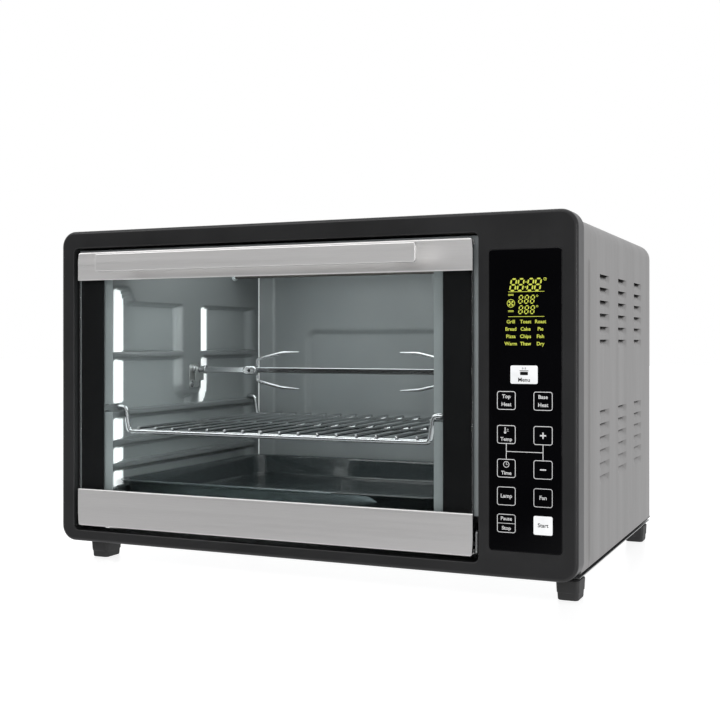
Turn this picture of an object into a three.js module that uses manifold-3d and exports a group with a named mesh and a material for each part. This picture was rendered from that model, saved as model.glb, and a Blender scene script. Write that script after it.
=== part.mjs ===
// A countertop toaster oven with a drop-down glass door, a touch control panel, a rotisserie and a
// convection fan. Millimetres, +X to the right, +Y to the back, +Z up, standing on z = 0.
// Inside the model, y is measured back from the front face of the fascia.
import * as THREE from "three";
import { mergeVertices } from "three/addons/utils/BufferGeometryUtils.js";
import Module from "manifold-3d";

const wasm = await Module();
wasm.setup();

// ---------------------------------------------------------------- driving dimensions
const BODY_WIDTH = 520;
const BODY_BOTTOM = 17;
const BODY_TOP = 324;
const BODY_BACK = 365;
const HANDLE_REACH = 28;
const SPACER_DEPTH = 7;
const GAP = 0.3;
const SHEET = 0.6;
const REAR_SHEET = 0.8;

const FASCIA = { depth: 22, corner: 15, edge: 3, skin: 3.5, wall: 5 };
const COVER = { inset: 2.5, bottom: 21, top: 321, corner: 16, sheet: 0.7 };
const LOUVRE = {
  columns: [117, 200.5, 283.3], blocks: [91, 213], rows: 6, pitch: 11.7, width: 42, slit: 3.4,
};
const BASE_SLOTS = { rows: [90, 150, 210, 270], columns: [-150, -50, 50, 150], length: 50, width: 3.5 };
const REAR_SLOTS = { rows: [250, 262, 274, 286], columns: [-150, -50, 50, 150], length: 60, width: 3.5 };
const SPACER = { x: 190, z: 165, width: 32, height: 60, corner: 5, chamfer: 2 };
const GLAND = { x: 205, z: 48, hole: 9.8, bore: 4.5, neck: 9, flange: 12 };
const FOOT = { width: 20, depth: 26, taper: 0.88 };
const FOOT_PLACES = {
  foot_front_left: [-224, 25],
  foot_front_right: [248, 25],
  foot_rear_left: [-224, 326],
  foot_rear_right: [248, 326],
};

const DOOR = { centre: -35, width: 410, bottom: 32.5, top: 303, corner: 4, glass: 4 };
const OPENING = { width: 420, bottom: 28, top: 307, corner: 5 };
const BAND = { sheet: 0.9, topHeight: 28, bottomHeight: 36.5, lip: 5.5 };
const HANDLE = { length: 328, height: 17, thickness: 4, centreZ: 290, postX: 140, postRadius: 5 };
const HINGE = { y: 9, z: 42, pin: 2.2, ear: 6 };
const STILE = { width: 28, sheet: 1.2, ear: 1.5, z: [58, 296], earTop: 64 };

// The cavity is centred behind the door: "crest" is the wall between its pressed panels, and
// "recess" the bottom of those panels, both measured out from the cavity's centre.
const CAVITY = { crest: 169, recess: 177, front: 8.3, side: 306, back: 325, floor: 38, roof: 304 };
const RIB_CRESTS = [[39.5, 70], [90, 93], [113, 116], [142, 145], [200, 203], [254, 302.5]];
const RIB_SLOPE = 5;
const RIB_SHELF = 1.5;
const FRAME = { bottom: 66, inset: 2, rackGap: 1.3 };
const HEATER = { radius: 3.6, terminal: 2.2, front: 75, rear: 245, upper: 292, lower: 46 };
const RACK = { front: 22, rear: 284, plane: 126, rail: 149.3, endX: 173, wire: 2.5, rod: 1.5, rods: 16 };
const RACK_BEND = { shoulder: 10, foot: 14, firstRod: 26, radius: 4 };
const TRAY = { halfWidth: 171.5, front: 12, rear: 296, bottom: 55, rim: 78.5, corner: 20, sheet: 1 };
const SPIT = { y: 157, z: 184, square: 6, journal: 3, left: -167.5, right: 180, hole: 9, socket: 7 };
const FORK = { hub: 14, reach: 50, kink: 30, spread: 18.7, wire: 1.7, leftX: -89, rightX: 127 };
const FAN = { y: 235, z: 235, radius: 38, blades: 6, slots: [-24, -8, 8, 24] };
const LAMP = { y: 70, z: 245, radius: 16 };
const SENSOR = { y: 285, z: 100, hole: 3.5 };
const CUTOUT = { x: 60, y: 160 };
const BRACKET_PAD = { y: [134, 172], z: [158, 256] };

const GLASS_PANEL = { left: 184.7, right: 246.8, bottom: 40, top: 291.7, corner: 3, thickness: 3 };
const TERMINALS = { x: 205, z: 72, width: 36, height: 16, depth: 14, ways: 3 };
const BOARD = { x: 236, y: [60, 220], z: [30, 140], thickness: 1.6 };

const FINISHES = {
  black_plastic: { color: 0x2a2a2b, roughness: 0.45, metalness: 0 },
  rubber: { color: 0x232323, roughness: 0.8, metalness: 0 },
  cover_steel: { color: 0x8c8c8a, roughness: 0.4, metalness: 0.9 },
  galvanised: { color: 0x9a9c9d, roughness: 0.5, metalness: 0.9 },
  cavity_steel: { color: 0x727c7c, roughness: 0.45, metalness: 0.7 },
  brushed_steel: { color: 0xb8b6b3, roughness: 0.32, metalness: 1 },
  chrome_wire: { color: 0xc9cccd, roughness: 0.18, metalness: 1 },
  enamel: { color: 0x22272a, roughness: 0.2, metalness: 0 },
  door_glass: { color: 0xc4d2d0, roughness: 0.02, metalness: 0, transparent: true, opacity: 0.3 },
  black_glass: { color: 0x050506, roughness: 0.05, metalness: 0 },
  circuit_board: { color: 0x1f5a38, roughness: 0.6, metalness: 0 },
  component: { color: 0x303338, roughness: 0.5, metalness: 0 },
  heater_sheath: { color: 0x55524e, roughness: 0.55, metalness: 0.6 },
  lamp_glass: { color: 0xe8eef0, roughness: 0.05, metalness: 0, transparent: true, opacity: 0.4 },
};

// ---------------------------------------------------------------- solids
const vec = (x, y, z) => new THREE.Vector3(x, y, z);

// A closed solid from any closed geometry: only positions, shared vertices, faces outwards.
function solid(geometry) {
  const bare = new THREE.BufferGeometry();
  bare.setAttribute("position", geometry.attributes.position.clone());
  if (geometry.index) {
    bare.setIndex(geometry.index.clone());
  }
  const merged = mergeVertices(bare, 1e-4);
  const position = merged.attributes.position;
  const triangles = [];
  let volume = 0;
  const [a, b, c] = [vec(), vec(), vec()];
  for (let i = 0; i < merged.index.count; i += 3) {
    const corner = [0, 1, 2].map((k) => merged.index.getX(i + k));
    if (new Set(corner).size < 3) {
      continue;
    }
    a.fromBufferAttribute(position, corner[0]);
    b.fromBufferAttribute(position, corner[1]);
    c.fromBufferAttribute(position, corner[2]);
    volume += a.dot(b.cross(c));
    triangles.push(corner);
  }
  const ordered = volume < 0 ? triangles.map(([p, q, r]) => [p, r, q]) : triangles;
  return new wasm.Manifold(new wasm.Mesh({
    numProp: 3,
    vertProperties: new Float32Array(position.array),
    triVerts: new Uint32Array(ordered.flat()),
  }));
}

function geometryOf(body) {
  const mesh = body.getMesh();
  const geometry = new THREE.BufferGeometry();
  geometry.setAttribute("position", new THREE.BufferAttribute(new Float32Array(mesh.vertProperties), 3));
  geometry.setIndex(new THREE.BufferAttribute(new Uint32Array(mesh.triVerts), 1));
  geometry.computeVertexNormals();
  return geometry;
}

const join = (first, ...others) => others.reduce((sum, other) => sum.add(other), first);
const cut = (first, ...tools) => tools.reduce((rest, tool) => rest.subtract(tool), first);

function box(x, y, z) {
  const geometry = new THREE.BoxGeometry(x[1] - x[0], y[1] - y[0], z[1] - z[0]);
  geometry.translate((x[0] + x[1]) / 2, (y[0] + y[1]) / 2, (z[0] + z[1]) / 2);
  return solid(geometry);
}

// An outline in the plane across an axis, carried along it: (y, z) along x, (x, z) along y, (x, y) along z.
const AXIS_FRAMES = {
  x: new THREE.Matrix4().makeBasis(vec(0, 1, 0), vec(0, 0, 1), vec(1, 0, 0)),
  y: new THREE.Matrix4().makeBasis(vec(1, 0, 0), vec(0, 0, 1), vec(0, -1, 0)),
  z: new THREE.Matrix4(),
};

function slab(outline, axis, from, to, options = {}) {
  const settings = { depth: to - from, bevelEnabled: false, curveSegments: 5, ...options };
  const geometry = new THREE.ExtrudeGeometry(outline, settings);
  geometry.applyMatrix4(AXIS_FRAMES[axis]);
  const start = axis === "y" ? to : from;
  geometry.translate(axis === "x" ? start : 0, axis === "y" ? start : 0, axis === "z" ? start : 0);
  return solid(geometry);
}

function roundedRect(u0, u1, v0, v1, r) {
  const shape = new THREE.Shape();
  shape.moveTo(u0 + r, v0);
  shape.lineTo(u1 - r, v0);
  shape.absarc(u1 - r, v0 + r, r, -Math.PI / 2, 0);
  shape.lineTo(u1, v1 - r);
  shape.absarc(u1 - r, v1 - r, r, 0, Math.PI / 2);
  shape.lineTo(u0 + r, v1);
  shape.absarc(u0 + r, v1 - r, r, Math.PI / 2, Math.PI);
  shape.lineTo(u0, v0 + r);
  shape.absarc(u0 + r, v0 + r, r, Math.PI, 1.5 * Math.PI);
  return shape;
}

const polygon = (points) => new THREE.Shape(points.map(([u, v]) => new THREE.Vector2(u, v)));

// A profile of [along, radius] points turned about an axis through a centre point.
function turned(profile, axis, centre, segments = 16) {
  const points = profile.map(([along, radius]) => new THREE.Vector2(radius, along));
  const geometry = new THREE.LatheGeometry(points, segments);
  if (axis === "x") {
    geometry.rotateZ(-Math.PI / 2);
  } else if (axis === "z") {
    geometry.rotateX(Math.PI / 2);
  }
  geometry.translate(...centre);
  return solid(geometry);
}

function bar(axis, from, to, radius, centre, segments = 16) {
  return turned([[from, 0], [from, radius], [to, radius], [to, 0]], axis, centre, segments);
}

// A route that a section visits point by point.
class Route extends THREE.Curve {
  constructor(points) {
    super();
    this.points = points;
  }
  getUtoTmapping(u) {
    return u;
  }
  getPoint(t) {
    const place = t * (this.points.length - 1);
    const index = Math.min(Math.floor(place), this.points.length - 2);
    return this.points[index].clone().lerp(this.points[index + 1], place - index);
  }
}

// The same route with each inner corner rounded by a short curve.
function rounded(points, radius, steps = 3) {
  const route = [points[0]];
  for (let i = 1; i < points.length - 1; i += 1) {
    const before = points[i].clone().add(points[i - 1].clone().sub(points[i]).setLength(radius));
    const after = points[i].clone().add(points[i + 1].clone().sub(points[i]).setLength(radius));
    const curve = new THREE.QuadraticBezierCurve3(before, points[i], after);
    route.push(...curve.getPoints(steps));
  }
  route.push(points[points.length - 1]);
  return route;
}

function wire(points, radius, sides = 6) {
  const section = new THREE.Shape();
  for (let i = 0; i < sides; i += 1) {
    const angle = (2 * Math.PI * i) / sides;
    const corner = [radius * Math.cos(angle), radius * Math.sin(angle)];
    if (i === 0) {
      section.moveTo(...corner);
    } else {
      section.lineTo(...corner);
    }
  }
  const settings = { steps: points.length - 1, extrudePath: new Route(points) };
  return solid(new THREE.ExtrudeGeometry(section, settings));
}

// A rounded rectangle's outline, anticlockwise, with the same number of points at every corner.
function outlinePoints([x0, x1], [y0, y1], r, steps) {
  const corners = [[x1 - r, y0 + r, -0.5], [x1 - r, y1 - r, 0], [x0 + r, y1 - r, 0.5], [x0 + r, y0 + r, 1]];
  return corners.flatMap(([x, y, halfTurns]) => Array.from({ length: steps + 1 }, (_, i) => {
    const angle = (halfTurns + i / (2 * steps)) * Math.PI;
    return [x + r * Math.cos(angle), y + r * Math.sin(angle)];
  }));
}

// Rounded rectangles stacked along z and joined: each is { z, x: [from, to], y: [from, to], r }.
function stacked(layers, cornerSteps = 4) {
  const rings = layers.map(({ z, x, y, r }) => {
    return outlinePoints(x, y, r, cornerSteps).map(([px, py]) => vec(px, py, z));
  });
  const count = rings[0].length;
  const points = rings.flat();
  const index = [];
  for (let layer = 0; layer < rings.length - 1; layer += 1) {
    for (let i = 0; i < count; i += 1) {
      const [a, b] = [layer * count + i, layer * count + ((i + 1) % count)];
      index.push(a, b, b + count, a, b + count, a + count);
    }
  }
  const last = (rings.length - 1) * count;
  for (let i = 1; i < count - 1; i += 1) {
    index.push(0, i + 1, i, last, last + i, last + i + 1);
  }
  const geometry = new THREE.BufferGeometry().setFromPoints(points);
  geometry.setIndex(index);
  return solid(geometry);
}

// A sheet of even thickness that follows a profile, on the left of its direction of travel.
function sheetOutline(points, thickness) {
  const offset = points.map((point, i) => {
    const before = points[Math.max(i - 1, 0)];
    const after = points[Math.min(i + 1, points.length - 1)];
    const inward = new THREE.Vector2(...point).sub(new THREE.Vector2(...before)).normalize();
    const outward = new THREE.Vector2(...after).sub(new THREE.Vector2(...point)).normalize();
    const direction = inward.add(outward).normalize();
    return [point[0] - direction.y * thickness, point[1] + direction.x * thickness];
  });
  return polygon([...points, ...offset.reverse()]);
}

// ---------------------------------------------------------------- assembly helpers
const oven = new THREE.Group();
oven.position.y = HANDLE_REACH - (HANDLE_REACH + BODY_BACK + SPACER_DEPTH) / 2;
const doorGroup = new THREE.Group();
doorGroup.position.x = DOOR.centre;
const cavityGroup = new THREE.Group();
cavityGroup.position.x = DOOR.centre;
oven.add(doorGroup, cavityGroup);

function add(group, name, body, finish) {
  const mesh = new THREE.Mesh(geometryOf(body), new THREE.MeshStandardMaterial(FINISHES[finish]));
  mesh.name = name;
  group.add(mesh);
  return mesh;
}

const SIDES = { left: -1, right: 1 };

// The stretch of x between two distances from the centre, on one side.
const span = (sign, from, to) => [Math.min(sign * from, sign * to), Math.max(sign * from, sign * to)];

// A grid of slots through a sheet that lies across z or y.
function slots({ rows, columns, length, width }, across, through) {
  return rows.flatMap((row) => columns.map((column) => {
    const x = [column - length / 2, column + length / 2];
    return across === "z" ? box(x, [row, row + width], through) : box(x, through, [row, row + width]);
  }));
}

// ---------------------------------------------------------------- shell
function makeFascia() {
  const half = BODY_WIDTH / 2;
  const { depth, corner, edge, skin, wall } = FASCIA;
  const outline = roundedRect(-half + edge, half - edge, BODY_BOTTOM + edge, BODY_TOP - edge, corner - edge);
  const block = slab(outline, "y", edge, depth + edge, {
    bevelEnabled: true,
    bevelThickness: edge,
    bevelSize: edge,
    bevelSegments: 2,
  });
  const rear = box([-half - 1, half + 1], [depth, depth + 3 * edge], [0, BODY_TOP + 1]);
  const [left, right] = [DOOR.centre - OPENING.width / 2, DOOR.centre + OPENING.width / 2];
  const doorway = roundedRect(left, right, OPENING.bottom, OPENING.top, OPENING.corner);
  const pocket = [[right + wall, half - wall], [skin, depth + 1], [BODY_BOTTOM + wall, BODY_TOP - wall]];
  const { left: x0, right: x1, bottom: z0, top: z1, corner: r } = GLASS_PANEL;
  const window = roundedRect(x0 - GAP, x1 + GAP, z0 - GAP, z1 + GAP, r);
  const fascia = cut(block, rear, slab(doorway, "y", -1, depth + 1), box(...pocket));
  add(oven, "front_fascia", cut(fascia, slab(window, "y", -1, depth)), "black_plastic");
}

function coverArch(inset) {
  const half = BODY_WIDTH / 2 - COVER.inset - inset;
  const top = COVER.top - inset;
  const r = COVER.corner - inset;
  const shape = new THREE.Shape();
  shape.moveTo(-half, COVER.bottom);
  shape.lineTo(half, COVER.bottom);
  shape.lineTo(half, top - r);
  shape.absarc(half - r, top - r, r, 0, Math.PI / 2);
  shape.lineTo(-half + r, top);
  shape.absarc(-half + r, top - r, r, Math.PI / 2, Math.PI);
  return shape;
}

const COVER_FRONT = FASCIA.depth + GAP;
const COVER_REAR = BODY_BACK - REAR_SHEET - GAP;

function makeCover() {
  const hollow = slab(coverArch(COVER.sheet), "y", COVER_FRONT - 1, COVER_REAR + 1);
  const below = box([-BODY_WIDTH, BODY_WIDTH], [0, BODY_BACK], [0, COVER.bottom + 1]);
  const core = join(hollow, cut(below, box(...beyondSides(-1)), box(...beyondSides(1))));
  let cover = cut(slab(coverArch(0), "y", COVER_FRONT, COVER_REAR), core);
  for (const side of Object.values(SIDES)) {
    const x = span(side, BODY_WIDTH / 2 - 10, BODY_WIDTH / 2);
    for (const column of LOUVRE.columns) {
      for (const bottom of LOUVRE.blocks) {
        for (let row = 0; row < LOUVRE.rows; row += 1) {
          const z = bottom + row * LOUVRE.pitch;
          const y = [column - LOUVRE.width / 2, column + LOUVRE.width / 2];
          cover = cut(cover, box(x, y, [z, z + LOUVRE.slit]));
        }
      }
    }
  }
  add(oven, "outer_cover", cover, "cover_steel");
}

// The space outside the cover's inner face on one side, which the cut below the arch spares.
function beyondSides(side) {
  const inner = BODY_WIDTH / 2 - COVER.inset - COVER.sheet;
  return [span(side, inner, BODY_WIDTH + 1), [-1, BODY_BACK + 1], [-1, COVER.bottom + 2]];
}

function makeBase() {
  const half = BODY_WIDTH / 2 - COVER.inset - COVER.sheet - GAP;
  const pan = box([-half, half], [COVER_FRONT, COVER_REAR - 2], [BODY_BOTTOM, BODY_BOTTOM + REAR_SHEET]);
  add(oven, "base_pan", cut(pan, ...slots(BASE_SLOTS, "z", [0, BODY_BOTTOM + 3])), "galvanised");
}

function makeRear() {
  const half = BODY_WIDTH / 2 - COVER.inset;
  const outline = roundedRect(-half, half, BODY_BOTTOM, COVER.top, 8);
  const panel = slab(outline, "y", COVER_REAR + GAP, BODY_BACK);
  const { x, z, hole: holeRadius, bore, neck, flange } = GLAND;
  const hole = bar("y", BODY_BACK - 10, BODY_BACK + 5, holeRadius, [x, 0, z]);
  const vents = slots(REAR_SLOTS, "y", [BODY_BACK - 10, BODY_BACK + 1]);
  add(oven, "rear_panel", cut(panel, hole, ...vents), "galvanised");

  const inner = COVER_REAR + GAP;
  const profile = [[inner - 3, bore], [inner - 3, flange], [inner - GAP, flange], [inner - GAP, neck],
    [BODY_BACK + GAP, neck], [BODY_BACK + GAP, flange], [BODY_BACK + 5, flange - 2], [BODY_BACK + 5, bore],
    [inner - 3, bore]];
  add(oven, "cable_gland", turned(profile, "y", [x, 0, z]), "black_plastic");
}

function makeSpacers() {
  const [x, y] = [SPACER.width / 2, SPACER.height / 2];
  const layer = (z, inset) => ({ z, x: [inset - x, x - inset], y: [inset - y, y - inset], r: SPACER.corner });
  const depth = SPACER_DEPTH - GAP;
  const block = stacked([layer(0, 0), layer(depth - SPACER.chamfer, 0), layer(depth, SPACER.chamfer)]);
  for (const [side, sign] of Object.entries(SIDES)) {
    const spacer = add(oven, `rear_spacer_${side}`, block, "black_plastic");
    spacer.rotation.x = -Math.PI / 2;
    spacer.position.set(sign * SPACER.x, BODY_BACK + GAP, SPACER.z);
  }
}

function makeFeet() {
  const top = BODY_BOTTOM - GAP;
  const layer = (z, scale) => {
    const [x, y] = [(FOOT.width / 2) * scale, (FOOT.depth / 2) * scale];
    return { z, x: [-x, x], y: [-y, y], r: 3 };
  };
  const foot = stacked([layer(0, FOOT.taper), layer(4, (1 + FOOT.taper) / 2), layer(top, 1)], 2);
  for (const [name, [x, y]] of Object.entries(FOOT_PLACES)) {
    add(oven, name, foot, "rubber").position.set(x, y, 0);
  }
}

// ---------------------------------------------------------------- cavity
// The pressed side wall's inner face from the bottom to the top: [distance out, height] points.
function wallProfile() {
  const points = [];
  RIB_CRESTS.forEach(([low, high], i) => {
    if (i > 0) {
      points.push([CAVITY.recess, low - RIB_SLOPE]);
    }
    points.push([CAVITY.crest, low], [CAVITY.crest, high]);
    if (i < RIB_CRESTS.length - 1) {
      points.push([CAVITY.recess, high + RIB_SHELF]);
    }
  });
  return points;
}

// The stretch of x that takes in a side wall, for what is cut through it.
const THROUGH_WALL = [CAVITY.crest - 19, CAVITY.recess + 23];

function heaterHoles(sign) {
  const places = [HEATER.front, HEATER.rear].flatMap((y) => [[y, HEATER.upper], [y, HEATER.lower]]);
  const through = span(sign, ...THROUGH_WALL);
  return places.map(([y, z]) => bar("x", ...through, HEATER.radius + 0.8, [0, y, z], 12));
}

function makeCavity() {
  const { crest, recess, front, side, back, floor, roof } = CAVITY;
  const right = slab(sheetOutline(wallProfile(), -SHEET), "y", front, side - GAP);
  const left = slab(polygonMirror(wallProfile(), SHEET), "y", front, side - GAP);
  const pad = box([-crest - SHEET, -crest], BRACKET_PAD.y, BRACKET_PAD.z);
  add(cavityGroup, "cavity_left_wall", cut(join(left, pad), ...heaterHoles(-1)), "cavity_steel");

  const spitHole = bar("x", ...THROUGH_WALL, SPIT.hole, [0, SPIT.y, SPIT.z]);
  const lampHole = bar("x", ...THROUGH_WALL, LAMP.radius + 0.6, [0, LAMP.y, LAMP.z]);
  const sensorHole = bar("x", ...THROUGH_WALL, SENSOR.hole, [0, SENSOR.y, SENSOR.z], 12);
  const fanSlots = FAN.slots.map((z) =>
    box(THROUGH_WALL, [FAN.y - 22, FAN.y + 22], [FAN.z + z - 2, FAN.z + z + 2]));
  const rightWall = cut(right, ...heaterHoles(1), spitHole, lampHole, sensorHole, ...fanSlots);
  add(cavityGroup, "cavity_right_wall", rightWall, "cavity_steel");

  const roofSheet = box([-recess - SHEET, recess + SHEET], [front, back + SHEET], [roof - SHEET, roof]);
  add(cavityGroup, "cavity_roof", roofSheet, "cavity_steel");
  const floorSheet = box([-recess - SHEET, recess + SHEET], [20, back + SHEET], [floor - SHEET, floor]);
  add(cavityGroup, "cavity_floor", floorSheet, "cavity_steel");

  const bevel = back - side;
  const plan = [[recess, side], [recess - bevel, back], [bevel - recess, back], [-recess, side]];
  const backWall = slab(sheetOutline(plan, -SHEET), "z", floor + GAP, roof - SHEET - GAP);
  add(cavityGroup, "cavity_back", backWall, "cavity_steel");

  const half = OPENING.width / 2 - FRAME.inset;
  const frameZ = [FRAME.bottom, OPENING.top - FRAME.inset];
  const frame = box([-half, half], [front - GAP - SHEET, front - GAP], frameZ);
  const mouth = box([-crest + 1, crest - 1], [0, 20], [0, roof - 3]);
  const rackWay = RACK.wire + FRAME.rackGap;
  const rackSlot = box([-recess, recess], [0, 20], [RACK.rail - rackWay, RACK.rail + rackWay]);
  add(cavityGroup, "cavity_front_frame", cut(frame, mouth, rackSlot), "cavity_steel");
}

// The left wall is the right wall's profile turned over, with its thickness outside it too.
function polygonMirror(points, thickness) {
  return sheetOutline(points.map(([x, z]) => [-x, z]), thickness);
}

function makeHeaters() {
  const reach = CAVITY.recess + 8;
  const { radius, terminal } = HEATER;
  const sheath = reach - 5;
  const profile = [[-reach, 0], [-reach, terminal], [-sheath, terminal], [-sheath, radius],
    [sheath, radius], [sheath, terminal], [reach, terminal], [reach, 0]];
  for (const [level, z] of [["upper", HEATER.upper], ["lower", HEATER.lower]]) {
    for (const [place, y] of [["front", HEATER.front], ["rear", HEATER.rear]]) {
      add(cavityGroup, `heater_${level}_${place}`, turned(profile, "x", [0, y, z], 12), "heater_sheath");
    }
  }
}

function makeLampAndSensors() {
  const wall = CAVITY.crest;
  const centre = [0, LAMP.y, LAMP.z];
  const lens = [[wall - 6, 0], [wall - 6, 10], [wall - 3, LAMP.radius], [wall + 6, LAMP.radius],
    [wall + 6, LAMP.radius - 2], [wall - 2.4, LAMP.radius - 2], [wall - 4, 8.6], [wall - 4, 0]];
  add(cavityGroup, "lamp_lens", turned(lens, "x", centre), "lamp_glass");
  const bulb = [[wall - 2, 0], [wall, 5], [wall + 6, 7], [wall + 12, 5], [wall + 18, 4], [wall + 18, 0]];
  add(cavityGroup, "lamp_bulb", turned(bulb, "x", centre, 12), "lamp_glass");
  const holder = [[wall + 18 + GAP, 0], [wall + 18 + GAP, 9], [wall + 10, 9], [wall + 10, 15],
    [wall + 26, 15], [wall + 30, 12], [wall + 30, 0]];
  add(cavityGroup, "lamp_holder", turned(holder, "x", centre), "component");
  const probe = [[wall - 22, 0], [wall - 20, 2], [wall + 9, 2], [wall + 9, 6], [wall + 13, 6],
    [wall + 13, 0]];
  add(cavityGroup, "temperature_sensor", turned(probe, "x", [0, SENSOR.y, SENSOR.z], 12), "chrome_wire");
  const cutout = [[CAVITY.roof + GAP, 0], [CAVITY.roof + GAP, 9], [CAVITY.roof + 5, 9],
    [CAVITY.roof + 5, 6], [CAVITY.roof + 10, 6], [CAVITY.roof + 10, 0]];
  add(cavityGroup, "thermal_cutout", turned(cutout, "z", [CUTOUT.x, CUTOUT.y, 0], 12), "component");
}

function makeRack() {
  const { front, rear, plane, rail, endX, wire: radius, rod, rods } = RACK;
  const [shoulder, foot] = [endX - RACK_BEND.shoulder, endX - RACK_BEND.foot];
  const crossbar = (y) => wire(rounded([vec(-endX, y, rail), vec(-shoulder, y, rail), vec(-foot, y, plane),
    vec(foot, y, plane), vec(shoulder, y, rail), vec(endX, y, rail)], RACK_BEND.radius), radius);
  const first = endX - RACK_BEND.firstRod;
  const crossRods = Array.from({ length: rods }, (_, i) =>
    bar("y", front, rear, rod, [-first + (2 * first * i) / (rods - 1), 0, plane + radius], 4));
  const middle = bar("x", -foot, foot, radius, [0, (front + rear) / 2, plane], 6);
  add(cavityGroup, "wire_rack", join(crossbar(front), crossbar(rear), middle, ...crossRods), "chrome_wire");
}

function makeTray() {
  const { halfWidth, front, rear, bottom, rim, corner, sheet } = TRAY;
  const layer = (z, inset) => ({
    z, x: [-halfWidth + inset, halfWidth - inset], y: [front + inset, rear - inset], r: corner - inset / 2,
  });
  const flange = stacked([layer(rim - sheet, 0), layer(rim, 0)]);
  const outer = stacked([layer(bottom, 12), layer(bottom + 3, 9), layer(rim - sheet / 2, 6)]);
  const inner = stacked([layer(bottom + sheet, 13), layer(bottom + 3.5, 10.2), layer(rim + sheet, 7)]);
  add(cavityGroup, "bake_tray", cut(join(flange, outer), inner), "enamel");
}

// ---------------------------------------------------------------- rotisserie
function makeSpit() {
  const { y, z, square, journal, left, right } = SPIT;
  const centre = [0, y, z];
  const half = square / 2;
  const shaft = box([left + 14, right - 6], [y - half, y + half], [z - half, z + half]);
  const collar = journal + 1.6;
  const end = turned([[left, 0], [left + 1, collar], [left + 2.5, collar], [left + 3.5, journal],
    [left + 12, journal], [left + 12, collar], [left + 15, collar], [left + 15, 0]], "x", centre);
  add(cavityGroup, "spit_rod", join(shaft, end), "chrome_wire");

  const wall = CAVITY.crest;
  const sleeve = bar("x", wall - 6, wall + 20, SPIT.socket, centre);
  const hollow = half + GAP;
  const mouth = box([wall - 7, right - 6 + GAP], [y - hollow, y + hollow], [z - hollow, z + hollow]);
  add(cavityGroup, "spit_socket", cut(sleeve, mouth), "galvanised");

  const motorStart = wall + 20 + GAP;
  const gearbox = box([motorStart, motorStart + 14], [y - 24, y + 24], [z - 24, z + 24]);
  const can = bar("x", motorStart + 10, motorStart + 32, 20, [0, y + 2, z + 2]);
  add(cavityGroup, "spit_motor", join(gearbox, can), "galvanised");

  for (const [side, sign] of Object.entries(SIDES)) {
    const x = side === "left" ? FORK.leftX : FORK.rightX;
    makeFork(side, x, -sign);
  }
  makeSpitBracket();
}

// A fork: a block on the square rod with two bent tines, held by a thumbscrew from the front.
function makeFork(side, x, direction) {
  const { y, z, square } = SPIT;
  const { hub, reach, kink, spread, wire: radius } = FORK;
  const bore = square / 2 + GAP;
  const [kinkX, tipX] = [x + direction * kink, x + direction * reach];
  const tine = (sign) => wire(rounded([vec(x, y, z + sign * 7), vec(x, y, z + sign * 12),
    vec(kinkX, y, z + sign * spread), vec(tipX, y, z + sign * (spread + 1))], 3), radius);
  const block = box([x - hub / 2, x + hub / 2], [y - 7, y + 7], [z - 8, z + 8]);
  const through = box([x - hub, x + hub], [y - bore, y + bore], [z - bore, z + bore]);
  const thread = bar("y", -30, 0, 2.4, [x, y, z], 12);
  const fork = cut(join(block, tine(1), tine(-1)), through, thread);
  add(cavityGroup, `spit_fork_${side}`, fork, "chrome_wire");
  const shank = bar("y", -14, -square / 2 - GAP - 0.1, 2, [x, y, z], 12);
  const collar = bar("y", -11, -8, 4.5, [x, y, z], 12);
  const wing = slab(roundedRect(x - 8, x + 8, z - 4, z + 4, 3.5), "y", y - 18, y - 13, { curveSegments: 3 });
  add(cavityGroup, `fork_screw_${side}`, join(shank, collar, wing), "chrome_wire");
}

function makeSpitBracket() {
  const { y, z, journal } = SPIT;
  const wall = -CAVITY.crest + GAP;
  const seat = journal + 0.6;
  const plate = slab(roundedRect(y - 10, y + 10, z - 20, z + 6, 4), "x", wall, wall + SHEET);
  const shelf = box([wall, wall + 8], [y - 6, y + 6], [z - 12, z - 11]);
  const notch = [[seat, 2], [seat, 0], [seat * 0.7, -seat * 0.7], [0, -seat], [-seat * 0.7, -seat * 0.7],
    [-seat, 0], [-seat, 2]];
  const outline = [[-8, -12], [8, -12], [8, 4], ...notch, [-8, 4]].map(([dy, dz]) => [y + dy, z + dz]);
  const cheek = slab(polygon(outline), "x", wall + 7, wall + 8);
  const screwHole = bar("x", wall - 1, wall + 2, 2.3, [0, y - 5, z - 16], 12);
  const opening = bar("x", wall - 1, wall + 2, journal + 2.2, [0, y, z], 12);
  add(cavityGroup, "spit_bracket", cut(join(plate, shelf, cheek), screwHole, opening), "cavity_steel");
  const screw = [[wall + GAP, 0], [wall + GAP, 2], [wall + SHEET + GAP, 2], [wall + SHEET + GAP, 3.6],
    [wall + SHEET + 1.6, 3], [wall + SHEET + 2.4, 0]];
  add(cavityGroup, "spit_bracket_screw", turned(screw, "x", [0, y - 5, z - 16], 12), "chrome_wire");
}

// ---------------------------------------------------------------- convection fan
function makeFan() {
  const centre = [0, FAN.y, FAN.z];
  const start = CAVITY.recess + 4;
  const hub = bar("x", start, start + 12, 7, centre, 12);
  const blades = Array.from({ length: FAN.blades }, (_, i) => {
    const blade = new THREE.BoxGeometry(9, FAN.radius - 5, 1);
    blade.rotateY(0.5);
    blade.translate(0, (FAN.radius + 5) / 2, 0);
    blade.rotateX((2 * Math.PI * i) / FAN.blades);
    blade.translate(start + 5, FAN.y, FAN.z);
    return solid(blade);
  });
  add(cavityGroup, "fan_blade", join(hub, ...blades), "galvanised");
  const motor = start + 12 + GAP;
  const plate = box([motor, motor + 1.5], [FAN.y - 30, FAN.y + 30], [FAN.z - 14, FAN.z + 14]);
  const can = bar("x", motor + 1, motor + 24, 18, centre);
  add(cavityGroup, "fan_motor", join(plate, can), "galvanised");
}

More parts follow.
